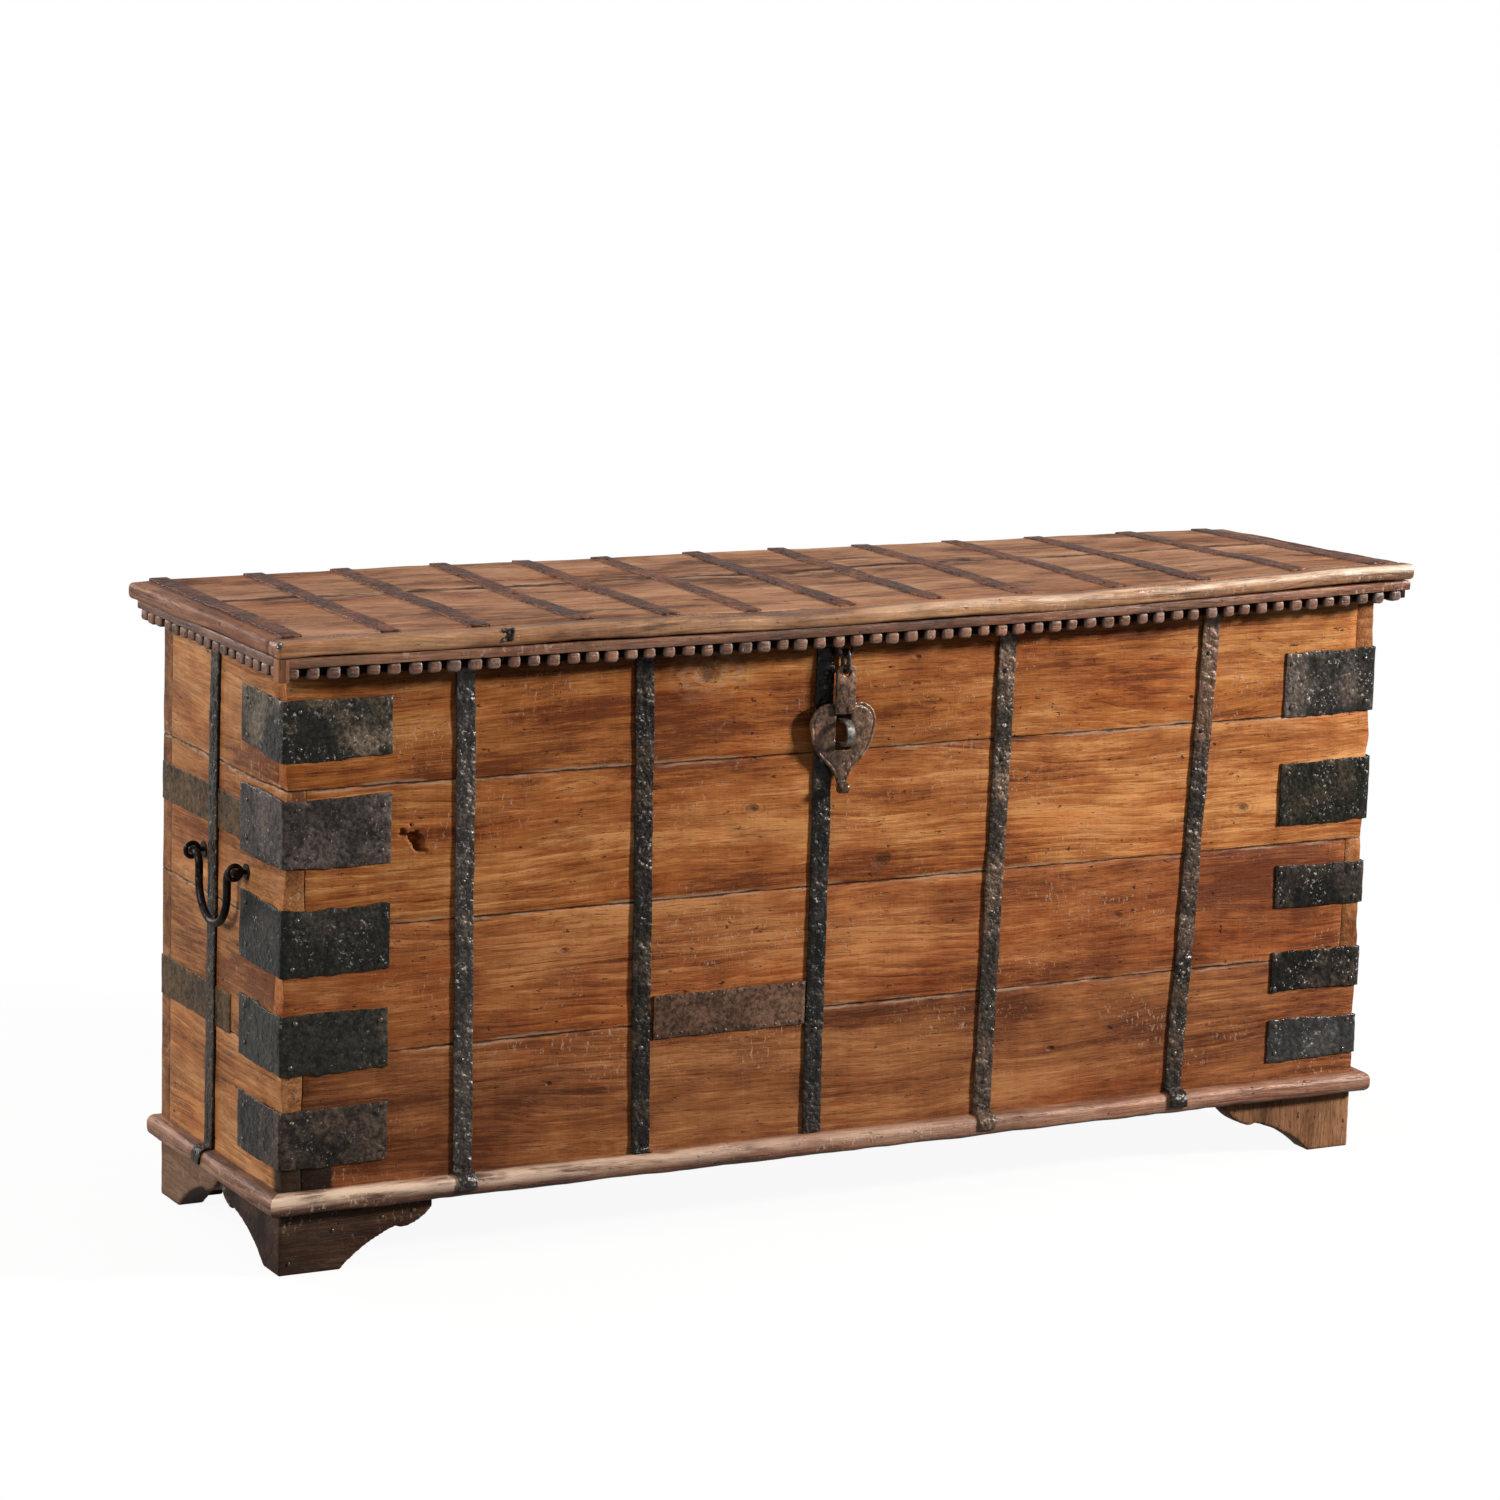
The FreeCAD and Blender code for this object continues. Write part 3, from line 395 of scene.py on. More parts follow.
# Knot: a dark core and rings round a place on the wall, given with its width.
knot, given = new_group(
    "knot_mark", {"Vector": ["Vector", "Place"], "Float": ["Width"]}, {"Float": ["Core", "Rings"]},
)
away = vector("SUBTRACT", given["Vector"], given["Place"])
away = vector("MULTIPLY", away, (0.6, 0, 1))
reach = put(knot, "VectorMath", {0: away}, operation="LENGTH")["Value"]
reach = reckon("DIVIDE", reach, given["Width"])
ragged = less(cloud(given["Vector"], (26, 26, 34), 5, 0.65), 0.45)
reach = add_share(reach, ragged, 1.6)
waves = add_share(0.5, reckon("SINE", times(reach, 13.0)), 0.5)
put(knot, "NodeGroupOutput", {
    "Core": fade(reach, 0.1, 0.85, 1.0, 0.0),
    "Rings": times(waves, fade(reach, 0.8, 2.0, 1.0, 0.0)),
})


def new_look(name):
    """A fresh material, its tree, and the place on the piece that its patterns read."""
    look = bpy.data.materials.new(name)
    look.use_nodes = True
    return look, look.node_tree, put(look.node_tree, "TexCoord")["Object"]


def use_group(tree, group, **feeds):
    return put(tree, "Group", feeds, node_tree=group)


def set_shader(tree, height, strength, depth, feeds):
    """Feed the material's shader, and raise bumps on it."""
    bump = put(tree, "Bump", {"Height": height, "Strength": strength, "Distance": depth})[0]
    shader = next(node for node in tree.nodes if node.type == "BSDF_PRINCIPLED")
    feed(tree, shader, {**feeds, "Normal": bump})


def attribute(tree, name):
    return put(tree, "Attribute", attribute_name=name)["Fac"]


bump_depth = 0.003


def wood_look(
    name, seed, pale, body, deep, stain=0.45, scuff=0.5, turn=(0, 0, 0), seams=None, seam_width=0.002,
    tilt=(0, 0, 0), knots=(), tar=None, dentil_shade_and_dust=False, arris_highlight=None, polish=0.1,
):
    """Waxed old teak, its grain along X unless it is turned. Seams are the heights of a plank's edges."""
    look, tree, spot = new_look(name)
    place = put(tree, "SeparateXYZ", {0: spot})
    along = put(tree, "Mapping", {"Vector": spot, "Rotation": turn})[0]
    wood = use_group(
        tree, teak, Vector=along, Seed=seed, Pale=tint(*pale), Body=tint(*body), Deep=tint(*deep),
        Stain=stain, Scuff=scuff,
    )
    colour = wood["Color"]
    height = wood["Height"]
    for x, z, width in knots:
        mark = use_group(tree, knot, Vector=spot, Place=(x, 0, z), Width=width)
        ring = tint(188, 154, 122) if width > 0.02 else tint(*deep)
        colour = blend(times(mark["Rings"], 0.35), colour, ring)
        colour = blend(times(mark["Core"], 0.72), colour, tint(56, 32, 21))
        height = add_share(height, mark["Core"], -0.8)
    if seams:
        tilted = put(tree, "Mapping", {"Vector": spot, "Rotation": tilt})[0]
        edge = use_group(
            tree, seam, Vector=tilted, Low=seams[0], High=seams[1], Seed=seed, Width=seam_width,
        )
        colour = blend(times(edge["Rub"], 0.7), colour, tint(182, 146, 118))
        colour = blend(times(edge["Dirt"], 0.85), colour, tint(30, 19, 13))
    if tar:
        within = reckon("MINIMUM", less(tar[0], place[0]), less(tar[1], place[2]))
        within = add_share(within, cloud(spot, (40, 40, 40), 4), 0.012)
        front = fade(place[1], -0.17, -0.15, 0.95, 0.0)
        daubed = times(fade(within, 0.004, 0.009), front)
        colour = blend(daubed, colour, tint(30, 23, 19))
    # Painted highlight: a pale band along the marked upper arris, its share fading along X, standing in for
    # the sheen of light on the arris.
    if arris_highlight:
        patchy = fade(cloud(spot, (14, 90, 90), 4), 0.3, 0.55)
        worn = times(fade(place[0], *arris_highlight), patchy)
        worn = times(worn, attribute(tree, "arris"))
        colour = blend(worn, colour, tint(232, 202, 176))
    # Painted shade: the dentils' sides are darkened nearly to black, as shade in the gaps between them, and
    # their chamfers are greyed with dust.
    if dentil_shade_and_dust:
        show = attribute(tree, "show")
        colour = blend(fade(show, 0.05, 0.4, 0.85, 0.0), colour, tint(26, 17, 12))
        rim = times(fade(show, 0.2, 0.5), fade(show, 0.55, 0.95, 0.6, 0.0))
        colour = blend(rim, colour, tint(128, 112, 102))
    dull = times(wood["Roughness"], 1.25 - polish)
    feeds = {"Base Color": colour, "Roughness": dull, "Specular IOR Level": polish}
    set_shader(tree, height, 0.8, bump_depth, feeds)
    return look


def coat(look, *pieces):
    """Give the pieces their finish."""
    for piece in pieces:
        piece.data.materials.clear()
        piece.data.materials.append(look)


def stands_for(piece, look, *names):
    """The piece takes its finish, replaces these nodes of the frame and rides on their body."""
    coat(look, piece)
    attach(piece, nodes[names[0]]["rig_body"])
    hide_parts(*names)


front_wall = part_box("front_plank_1")[0].y
half_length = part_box("back_plank_1")[1].x
plank_step = 0.011
plank_arris = 0.0016
bitten_width = 0.04
bitten_depth = 0.06


def worn_plank(node, look_name, seed, tones, **marks):
    """A plank with dirty seams, worn, and bitten where it reaches the front corners."""
    low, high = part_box(node)
    plank = sawn_board(f"{node}_worn", low, high, plank_step, plank_arris)
    weathered(plank, 0.16, 0.0016)
    weathered(plank, 0.03, 0.0010)
    for side, middle in ((-1, 0.3), (1, 0.72)):
        bitten = plank.vertex_groups.new(name="bitten")
        for vert in plank.data.vertices:
            deep = half_length - vert.co.x * side
            if deep < bitten_width and vert.co.y < front_wall + bitten_depth:
                bitten.add([vert.index], 1 - max(deep, 0) / bitten_width, "REPLACE")
        weathered(plank, 0.045, 0.011, "X", middle, "bitten")
        plank.vertex_groups.clear()
    wear(plank, 40)
    stands_for(plank, wood_look(look_name, seed, *tones, seams=(low.z, high.z), **marks), node)
    return plank


tar_corner = (-0.707, 0.134)
front_planks = (
    (
        1.37, ((204, 144, 86), (162, 97, 47), (108, 54, 23)),
        ((-0.211, 0.706, 0.023), (0.082, 0.708, 0.006), (0.491, 0.631, 0.004)),
    ),
    (
        2.74, ((202, 142, 86), (160, 95, 47), (106, 52, 23)),
        ((-0.146, 0.530, 0.009), (0.580, 0.478, 0.010), (0.038, 0.450, 0.014)),
    ),
    (
        9.4, ((190, 129, 78), (150, 87, 46), (100, 50, 26)),
        ((0.395, 0.349, 0.011), (-0.402, 0.372, 0.007)),
    ),
    (
        7.7, ((174, 117, 72), (135, 81, 46), (90, 48, 27)),
        ((0.300, 0.180, 0.006), (-0.420, 0.205, 0.005)),
    ),
)
for row, (seed, tones, knots) in enumerate(front_planks, start=1):
    tar = tar_corner if row == 4 else None
    plank = worn_plank(
        f"front_plank_{row}", f"front_teak_{row}", seed, tones, scuff=0.6, knots=knots, tar=tar,
    )
    if row == 2:
        gouge = Vector((-0.607, front_wall, 0.527))
        gouge_width, gouge_height = 0.013, 0.012

        def gouged(vert, share):
            away = vert.co - gouge
            ragged = share * (0.95 + 0.9 * noise.noise(vert.co * 110))
            reach = hypot(away.x / gouge_width, (away.z + away.x) / gouge_height)
            return abs(away.y) < 0.006 and reach < ragged

        switch("EDIT")
        pick(
            plank, "FACE",
            lambda face: (face.calc_center_median() - gouge).length < 0.032 and face.normal.y < -0.5,
        )
        bpy.ops.mesh.subdivide(number_cuts=5)
        for share, push in ((1.0, 0.004), (0.75, 0.007)):
            pick(plank, "VERT", lambda vert: gouged(vert, share))
            bpy.ops.transform.translate(value=(0, push, 0))
        switch("OBJECT")

# Ends and back: the same planks. The end planks run front to back, and their grain with them.
# At the front corners the rows lap by turns. The back, which stands to a wall, is duller.
right_angle = radians(90)
across = (0, 0, right_angle)
end_tones = {
    "left": ((200, 148, 100), (162, 109, 66), (108, 65, 38)),
    "right": ((178, 124, 80), (142, 90, 51), (94, 53, 29)),
}
back_tones = ((168, 122, 84), (132, 88, 56), (86, 54, 34))
for row in range(1, 5):
    for side, start in (("left", 11), ("right", 23)):
        tar = tar_corner if side == "left" and row == 4 else None
        worn_plank(
            f"{side}_end_plank_{row}", f"{side}_end_teak_{row}", start + row * 1.7, end_tones[side],
            stain=0.35, turn=across, tar=tar,
        )
    worn_plank(f"back_plank_{row}", f"back_teak_{row}", 37 + row * 2.3, back_tones, stain=0.6)

# Bottom: two bare boards between the walls, seen only with the lid up.
bare_tones = ((150, 110, 78), (116, 80, 54), (74, 48, 32))
bottom_look = wood_look("bottom_teak", 51.0, *bare_tones, stain=0.6)
coat(bottom_look, nodes["bottom_board_front"], nodes["bottom_board_back"])

# Base bead: a round-nosed teak strip nailed along the foot of the front and the ends, mitred at the corners.
# It is knocked and rubbed, darker and redder than the planks, with a pale highlight painted along the front
# strip's upper arris, strongest at the left.
bead_round = 0.009
bead_step = 0.007
hair = 0.001


def mark_highlight_arris(strip, front, top, reach):
    """Mark the upper front arris of a strip, where a pale highlight is painted."""
    marks = strip.data.attributes.new("arris", "FLOAT", "POINT").data
    for vert, mark in zip(strip.data.vertices, marks):
        mark.value = 1.0 if hypot(vert.co.y - front, vert.co.z - top) < reach else 0.0


def bead_strip(node, side, look):
    """A strip whose outer edges are rounded, mitred at the trunk's corners."""
    low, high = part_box(node)
    strip = block_between(f"{node}_worn", low, high)
    axis = 0 if side == "front" else 1
    switch("EDIT")
    mesh = bmesh.from_edit_mesh(strip.data)
    for vert in mesh.verts:
        if side == "front" and vert.co.y > (low.y + high.y) / 2:
            vert.co.x = copysign(half_length, vert.co.x)
        if side != "front" and abs(vert.co.x) < half_length + hair and vert.co.y < 0:
            vert.co.y = front_wall
    bmesh.update_edit_mesh(strip.data)
    outward, outer = {"front": (1, low.y), "left": (0, low.x), "right": (0, high.x)}[side]
    long_edge = 0.1
    pick(
        strip, "EDGE",
        lambda edge: span(edge, axis) > long_edge
        and all(abs(vert.co[outward] - outer) < hair for vert in edge.verts),
    )
    bpy.ops.mesh.bevel(offset=bead_round, segments=4)
    pick(strip, "EDGE", lambda edge: span(edge, axis) > long_edge)
    bpy.ops.mesh.subdivide(number_cuts=int((high - low)[axis] / bead_step))
    switch("OBJECT")
    mark_highlight_arris(strip, low.y, high.z, 0.011)
    wear(strip, 50, (0.05, 0.003), (0.012, 0.0016))
    stands_for(strip, look, node)


# The front bead's arris highlight is painted: pale at the left end, fading out by x 0.4.
bead_look = wood_look(
    "bead_teak", 61.0, (176, 134, 110), (134, 94, 73), (74, 47, 36), stain=0.4, scuff=0.9,
    arris_highlight=(-0.75, 0.4, 0.85, 0.0), polish=0.35,
)
bead_end_look = wood_look(
    "bead_end_teak", 67.0, (166, 126, 102), (124, 86, 66), (68, 43, 32), scuff=0.9, turn=across, polish=0.2,
)
bead_strip("base_bead_front", "front", bead_look)
bead_strip("base_bead_left", "left", bead_end_look)
bead_strip("base_bead_right", "right", bead_end_look)

# Bracket feet: two sawn boards at each corner, cut to a cove and a lobe. They stand on their pads and carry
# the walls. Their form is that of the frame's solids, with the sharp edges worn round.
weld = 0.00001


def worked_copy(node, grain):
    """A copy of a solid of the frame, remeshed at that grain so that it can be worn."""
    piece = bpy.data.objects.new(f"{node}_worn", nodes[node].data.copy())
    scene.collection.objects.link(piece)
    activate(piece)
    switch("EDIT")
    take_all()
    bpy.ops.mesh.remove_doubles(threshold=weld)
    switch("OBJECT")
    finish_with(piece, "REMESH", mode="VOXEL", voxel_size=grain)
    return piece


upright = (0, right_angle, 0)
back_foot = ((150, 118, 94), (118, 90, 70), (76, 54, 42), across, 1)
feet = {
    "foot_front_left": ((92, 68, 52), (60, 44, 35), (36, 27, 21), (0, 0, 0), 0.94),
    "foot_front_right": ((154, 112, 80), (120, 84, 59), (80, 53, 36), upright, 1.09),
    "foot_back_left": back_foot,
    "foot_back_right": back_foot,
}
foot_grain = 0.003
pad_wear = 0.0012
for number, (node, (pale, body, deep, turn, spread)) in enumerate(feet.items()):
    foot = worked_copy(node, foot_grain)
    switch("EDIT")
    take_all()
    corner = max(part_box(node), key=lambda co: abs(co.x))
    bpy.ops.transform.resize(value=(spread, 1, 1), center_override=corner)
    switch("OBJECT")
    finish_with(foot, "SMOOTH", factor=0.5, iterations=2)
    weathered(foot, 0.03, 0.0016)
    switch("EDIT")
    pick(foot, "VERT", lambda vert: vert.co.z < pad_wear)
    bpy.ops.transform.resize(value=(1, 1, 0), center_override=(0, 0, 0))
    switch("OBJECT")
    bpy.ops.object.shade_smooth()
    stands_for(foot, wood_look(f"{node}_teak", 71 + number * 3.1, pale, body, deep, turn=turn), node)

# Straps on the walls: flat wrought iron, one inch wide, hammered flat and nailed on, some bent over the bead.
# The iron is black and pitted under old varnish, brown with rust in patches, and flecked pale, partly with
# worn metal and partly with painted glints.
iron, given = new_group(
    "iron_skin",
    {"Vector": ["Vector"], "Float": ["Seed", "Rust", "Wear"], "Color": ["Black", "Brown", "Worn"]},
    {"Color": ["Color"], "Float": ["Roughness", "Height"]},
)
origin = seeded(given["Vector"], given["Seed"])
patches = cloud(origin, (13, 13, 13), 6, 0.68)
rusty = add_share(patches, less(given["Rust"], 0.5), 0.4)
skin = blend(fade(rusty, 0.44, 0.6), given["Black"], given["Brown"])
speckle = cloud(origin, (150, 150, 150), 6, 0.75)
shades = fade(speckle, 0.34, 0.66, 0.35, 1.55)
shades = put(iron, "CombineColor", {0: shades, 1: shades, 2: shades})[0]
skin = blend(1.0, skin, shades, "MULTIPLY")
# Pale flecks of the worn colour: partly worn bright metal, partly painted glints that stand in for sparkle.
worn_glints = fade(cloud(origin, (260, 260, 260), 3, 0.6), 0.59, 0.68)
worn_glints = times(worn_glints, fade(cloud(origin, (30, 30, 30), 4), 0.47, 0.6))
skin = blend(times(worn_glints, given["Wear"]), skin, given["Worn"])
dull = fade(add_share(patches, speckle, 0.4), 0.5, 0.9, 0.18, 0.42)
pits = put(iron, "TexVoronoi", {"Vector": origin, "Scale": 140.0}, feature="SMOOTH_F1")[0]
relief = add_share(times(speckle, 0.25), pits, 0.4)
relief = add_share(relief, cloud(origin, (75, 75, 75), 2, 0.5), 1.6)
put(iron, "NodeGroupOutput", {"Color": skin, "Roughness": dull, "Height": relief})


def iron_look(
    name, seed, black=(38, 34, 30), brown=(68, 57, 47), worn=(176, 170, 165), rust=0.5, wear=0.5,
    strength=1.0, gloss=0.24, splice=None, metal=0.2, depth=bump_depth,
):
    """Old iron, flecked pale by its worn colour and wear share, partly worn metal and partly painted glints.
    Above its splice, where it has one, it is a browner piece.
    """
    look, tree, spot = new_look(name)
    skin = use_group(
        tree, iron, Vector=spot, Seed=seed, Black=tint(*black), Brown=tint(*brown), Worn=tint(*worn),
        Rust=rust, Wear=wear,
    )
    colour = skin["Color"]
    if splice:
        height = put(tree, "SeparateXYZ", {0: spot})[2]
        above = fade(height, splice - hair, splice + hair, 0.0, 0.6)
        colour = blend(above, colour, tint(112, 84, 66))
    feeds = {"Base Color": colour, "Roughness": skin["Roughness"]}
    feeds.update({"Metallic": metal, "Specular IOR Level": gloss})
    set_shader(tree, skin["Height"], strength, depth, feeds)
    return look


strap_width = 0.025
strap_thickness = 0.003
strap_edge = 0.0007
bead_play = 0.0003
iron_step = 0.006
on_edge = (right_angle, 0, 0)


def flat_sheet(name, cuts, size, turn, place):
    """A thin sheet, divided by so many cuts each way."""
    bpy.ops.mesh.primitive_grid_add(x_subdivisions=cuts[0], y_subdivisions=cuts[1], size=1)
    sheet = bpy.context.object
    sheet.name = name
    sheet.scale = (*size, 1)
    sheet.rotation_euler = turn
    sheet.location = place
    bpy.ops.object.transform_apply()
    return sheet


def bend_edge(sheet, edge, bends, facing):
    """Draw a sheet's edge out along the bends, and turn the sheet to face one way."""
    switch("EDIT")
    pick(sheet, "VERT", edge)
    for bend in bends:
        bpy.ops.mesh.extrude_region_move(TRANSFORM_OT_translate={"value": bend})
    take_all()
    bpy.ops.mesh.normals_make_consistent()
    switch("OBJECT")
    faced = sum((face.normal * face.area for face in sheet.data.polygons), Vector())
    if faced.dot(facing) < 0:
        sheet.data.flip_normals()


def hammered(piece, thickness, edge, sways):
    """Give sheet iron ragged edges along the ways that it sways, dents, and its thickness."""
    for way, sway in sways.items():
        weathered(piece, 0.11, sway * 1.6, way)
        weathered(piece, 0.018, sway, way)
    weathered(piece, 0.045, 0.0016)
    finish_with(piece, "SOLIDIFY", thickness=thickness, offset=1, use_even_offset=True)
    finish_with(piece, "BEVEL", width=edge, segments=2, limit_method="ANGLE", angle_limit=radians(50))
    wear(piece, 50)


strap_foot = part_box("base_bead_front")[1].z + bead_play


def forged_strap(node, lean, wrap, under, place, turn, sway, look):
    """A strap, made on a wall at y 0 that faces -Y, then turned and moved to its own wall.
    It may be bent over the bead or down to the foot, and what lies under it lifts it off the wall."""
    low, high = strap_foot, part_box(node)[1].z
    run = high - low
    tilt = (right_angle, asin(lean / run), 0)
    middle = (0, 0, (low + high) / 2)
    strap = flat_sheet(f"{node}_worn", (4, int(run / iron_step)), (strap_width, run), tilt, middle)
    bends = []
    if wrap != "none":
        bends.append((0, under + bead_round - front_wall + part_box("base_bead_front")[0].y, 0))
    if wrap == "nose":
        sweep = bead_round + bead_play
        angles = [right_angle * number / 4 for number in range(5)]
        for before, after in zip(angles, angles[1:]):
            out = sweep * (sin(before) - sin(after))
            bends.append((0, out, sweep * (cos(after) - cos(before))))
        bends.append((0, 0, -0.008))
    bend_edge(strap, lambda vert: vert.co.z < low + 0.002, bends, Vector((0, -1, 0)))
    strap.rotation_euler = (0, 0, turn)
    strap.location = place
    bpy.ops.object.transform_apply()
    hammered(strap, strap_thickness, strap_edge, {sway: 0.0022})
    stands_for(strap, look, node)


front_straps = (
    (-0.00775, "nose", iron_look("strap_iron_1", 3.1, (48, 43, 40), (82, 71, 63), wear=1.0, gloss=0.55)),
    (-0.0101, "foot", iron_look("strap_iron_2", 5.7, rust=0.45)),
    (0.0, "none", iron_look("strap_iron_3", 8.3, (29, 28, 25), (52, 46, 41), rust=0.4, gloss=0.3)),
    (0.01395, "nose", iron_look("strap_iron_4", 11.9, (60, 52, 46), (104, 84, 70), wear=0.9)),
    (0.02945, "nose", iron_look("strap_iron_5", 14.2, (44, 39, 34), (78, 62, 51), wear=0.9, splice=0.573)),
)
for number, (lean, wrap, look) in enumerate(front_straps, start=1):
    node = f"front_strap_{number}"
    low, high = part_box(node)
    forged_strap(node, lean, wrap, 0, ((low.x + high.x) / 2, front_wall, 0), 0, "X", look)
sides = (("left", -1), ("right", 1))
band_thickness = 0.0015
for side, away in sides:
    node = f"{side}_end_strap"
    low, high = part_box(node)
    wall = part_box(f"{side}_end_bands")[0 if away < 0 else 1].x
    place = (wall, (low.y + high.y) / 2, 0)
    look = iron_look(f"{side}_end_iron", 17 + away, rust=0.55)
    forged_strap(node, -0.0089 * away, "nose", band_thickness, place, right_angle * away, "Y", look)

# Corner plates: five pieces of sheet iron bent round each front corner and nailed through both legs.
# Their edges are cut by eye and dented, the upper ones bloom brown. Brown bands go round the back corners.


def bent_plate(name, wall, low, high, thickness, away, inward):
    """Sheet iron round an upright corner, drawn flat along the wall first, then folded at the corner."""
    wall_leg, end_leg = high.x - low.x - thickness, high.y - low.y - thickness
    run, rise = wall_leg + end_leg, high.z - low.z
    pivot = Vector((half_length * away, wall, 0))
    middle = Vector((pivot.x - away * wall_leg + away * run / 2, wall, (low.z + high.z) / 2))
    cuts = (int(run / iron_step), int(rise / iron_step))
    plate = flat_sheet(name, cuts, (run, rise), on_edge, middle)
    switch("EDIT")
    fold = Matrix.Rotation(right_angle * away * inward, 4, "Z")
    mesh = bmesh.from_edit_mesh(plate.data)
    for vert in mesh.verts:
        if (vert.co.x - pivot.x) * away > 0.0001:
            vert.co = pivot + fold @ (vert.co - pivot)
    bmesh.update_edit_mesh(plate.data)
    take_all()
    if inward < 0:
        bpy.ops.mesh.flip_normals()
    switch("OBJECT")
    return plate


def solids_of(node):
    """The boxes of a node's separate solids, from the top down and from left to right."""
    mesh = bmesh.new()
    mesh.from_mesh(nodes[node].data)
    bmesh.ops.remove_doubles(mesh, verts=mesh.verts, dist=weld)
    left = set(mesh.verts)
    boxes = []
    while left:
        waiting = [left.pop()]
        corners = []
        while waiting:
            vert = waiting.pop()
            corners.append(vert.co.copy())
            linked = {edge.other_vert(vert) for edge in vert.link_edges} & left
            left -= linked
            waiting.extend(linked)
        boxes.append([Vector([end(co[axis] for co in corners) for axis in range(3)]) for end in (min, max)])
    mesh.free()
    return sorted(boxes, key=lambda box: (-round(box[0].z, 4), round(box[0].x, 4)))


plate_thickness = 0.0025
back_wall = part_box("back_plank_1")[1].y
plate_tones = {
    "left": (
        ((39, 38, 33), (106, 92, 76), 0.42, 1.0, 0.28),
        ((56, 50, 47), (90, 78, 73), 0.5, 0.8, 0.28),
        ((36, 36, 32), (62, 55, 49), 0.35, 0.7, 0.28),
        ((45, 45, 38), (71, 64, 55), 0.35, 0.6, 0.28),
        ((39, 35, 32), (80, 66, 57), 0.5, 0.7, 0.24),
    ),
    "right": (
        ((41, 38, 34), (82, 72, 65), 0.5, 1.0, 0.28),
        ((31, 30, 22), (58, 49, 38), 0.4, 0.9, 0.2),
        ((26, 24, 21), (55, 47, 40), 0.5, 0.9, 0.2),
        ((26, 24, 21), (58, 48, 41), 0.5, 0.9, 0.2),
        ((40, 39, 38), (72, 67, 63), 0.3, 1.0, 0.55),
    ),
}
for side, away in sides:
    node = f"{side}_corner_plates"
    for number, ((low, high), tones) in enumerate(zip(solids_of(node), plate_tones[side]), start=1):
        black, brown, rust, shine, gloss = tones
        plate = bent_plate(f"{side}_corner_plate_{number}", front_wall, low, high, plate_thickness, away, 1)
        hammered(plate, plate_thickness, 0.0006, {"Z": 0.005, "X": 0.0016})
        look = iron_look(
            f"{side}_plate_iron_{number}", number * 2.7 + away, black, brown, rust=rust, wear=shine,
            strength=0.6, gloss=gloss,
        )
        stands_for(plate, look, node)
    node = f"{side}_end_bands"
    look = iron_look(
        f"{side}_band_iron", 31 + away, (73, 56, 38), (97, 76, 52), rust=0.55, wear=0.25,
        strength=0.35, gloss=0.1,
    )
    for number, (low, high) in enumerate(solids_of(node), start=1):
        band = bent_plate(f"{side}_end_band_{number}", back_wall, low, high, band_thickness, away, -1)
        hammered(band, 0.0018, 0.0004, {"Z": 0.002})
        stands_for(band, look, node)

# Patch: thin brown sheet nailed over the third plank between two straps.
low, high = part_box("front_patch")
middle = (low + high) / 2
patch_size = (high.x - low.x, high.z - low.z)
patch_place = (middle.x, front_wall, middle.z)
patch = flat_sheet("front_patch_worn", (36, 9), patch_size, on_edge, patch_place)
hammered(patch, 0.0022, 0.0004, {"Z": 0.002})
look = iron_look("patch_iron", 41.0, (85, 62, 48), (112, 83, 65), rust=0.55, wear=0.25, strength=0.35)
stands_for(patch, look, "front_patch")

# Lid: two boards with their grain along the trunk, framed by round-nosed edge strips, worn thin by hands.
# The boards are dry and dusty, the front strip is polished and paler, with a pale highlight painted along its
# upper arris that grows towards the right.
lid_tones = ((188, 145, 114), (156, 112, 84), (92, 63, 50))


def swell(piece):
    """Lift a piece of the lid with the slow waves of its boards."""
    weathered(piece, 0.22, 0.007, "Z", 0.3)


past_edge = 0.05
for number, node in enumerate(("lid_board_front", "lid_board_back")):
    low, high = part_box(node)
    board = sawn_board(f"{node}_worn", low, high, plank_step, 0.0014)
    swell(board)
    wear(board, 40, (0.025, 0.0008))
    seams = (low.y, high.y + past_edge) if number else (low.y - past_edge, high.y)
    look = wood_look(
        f"{node}_teak", 83 + number * 4.3, *lid_tones, seams=seams, seam_width=0.011, tilt=on_edge,
        polish=0.05,
    )
    stands_for(board, look, node)
edge_tones = {
    "lid_edge_front": ((200, 152, 108), (158, 112, 74), (96, 61, 38), (0, 0, 0)),
    "lid_edge_left": ((150, 110, 86), (120, 84, 66), (72, 48, 38), across),
    "lid_edge_right": ((160, 118, 92), (128, 90, 70), (78, 52, 40), across),
}
for number, (node, (pale, body, deep, turn)) in enumerate(edge_tones.items()):
    low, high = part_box(node)
    strip = sawn_board(f"{node}_worn", low, high, 0.007, 0.006, segments=4)
    mark_highlight_arris(strip, low.y, high.z, 0.0065)
    if node == "lid_edge_left":
        switch("EDIT")
        pick(strip, "VERT", lambda vert: vert.co.x < low.x + 0.008)
        bpy.ops.transform.rotate(value=radians(-1.3), orient_axis="Z", center_override=low)
        switch("OBJECT")
    swell(strip)
    wear(strip, 50, (0.09, 0.0024), (0.02, 0.0014))
    # Painted highlight along the front strip's upper arris, rising towards the right.
    front_edge_highlight = {"arris_highlight": (-0.3, 0.6, 0.0, 0.78), "polish": 0.6} if node == "lid_edge_front" else {}
    look = wood_look(f"{node}_teak", 91 + number * 3.7, pale, body, deep, scuff=0.7, turn=turn, **front_edge_highlight)
    stands_for(strip, look, node)

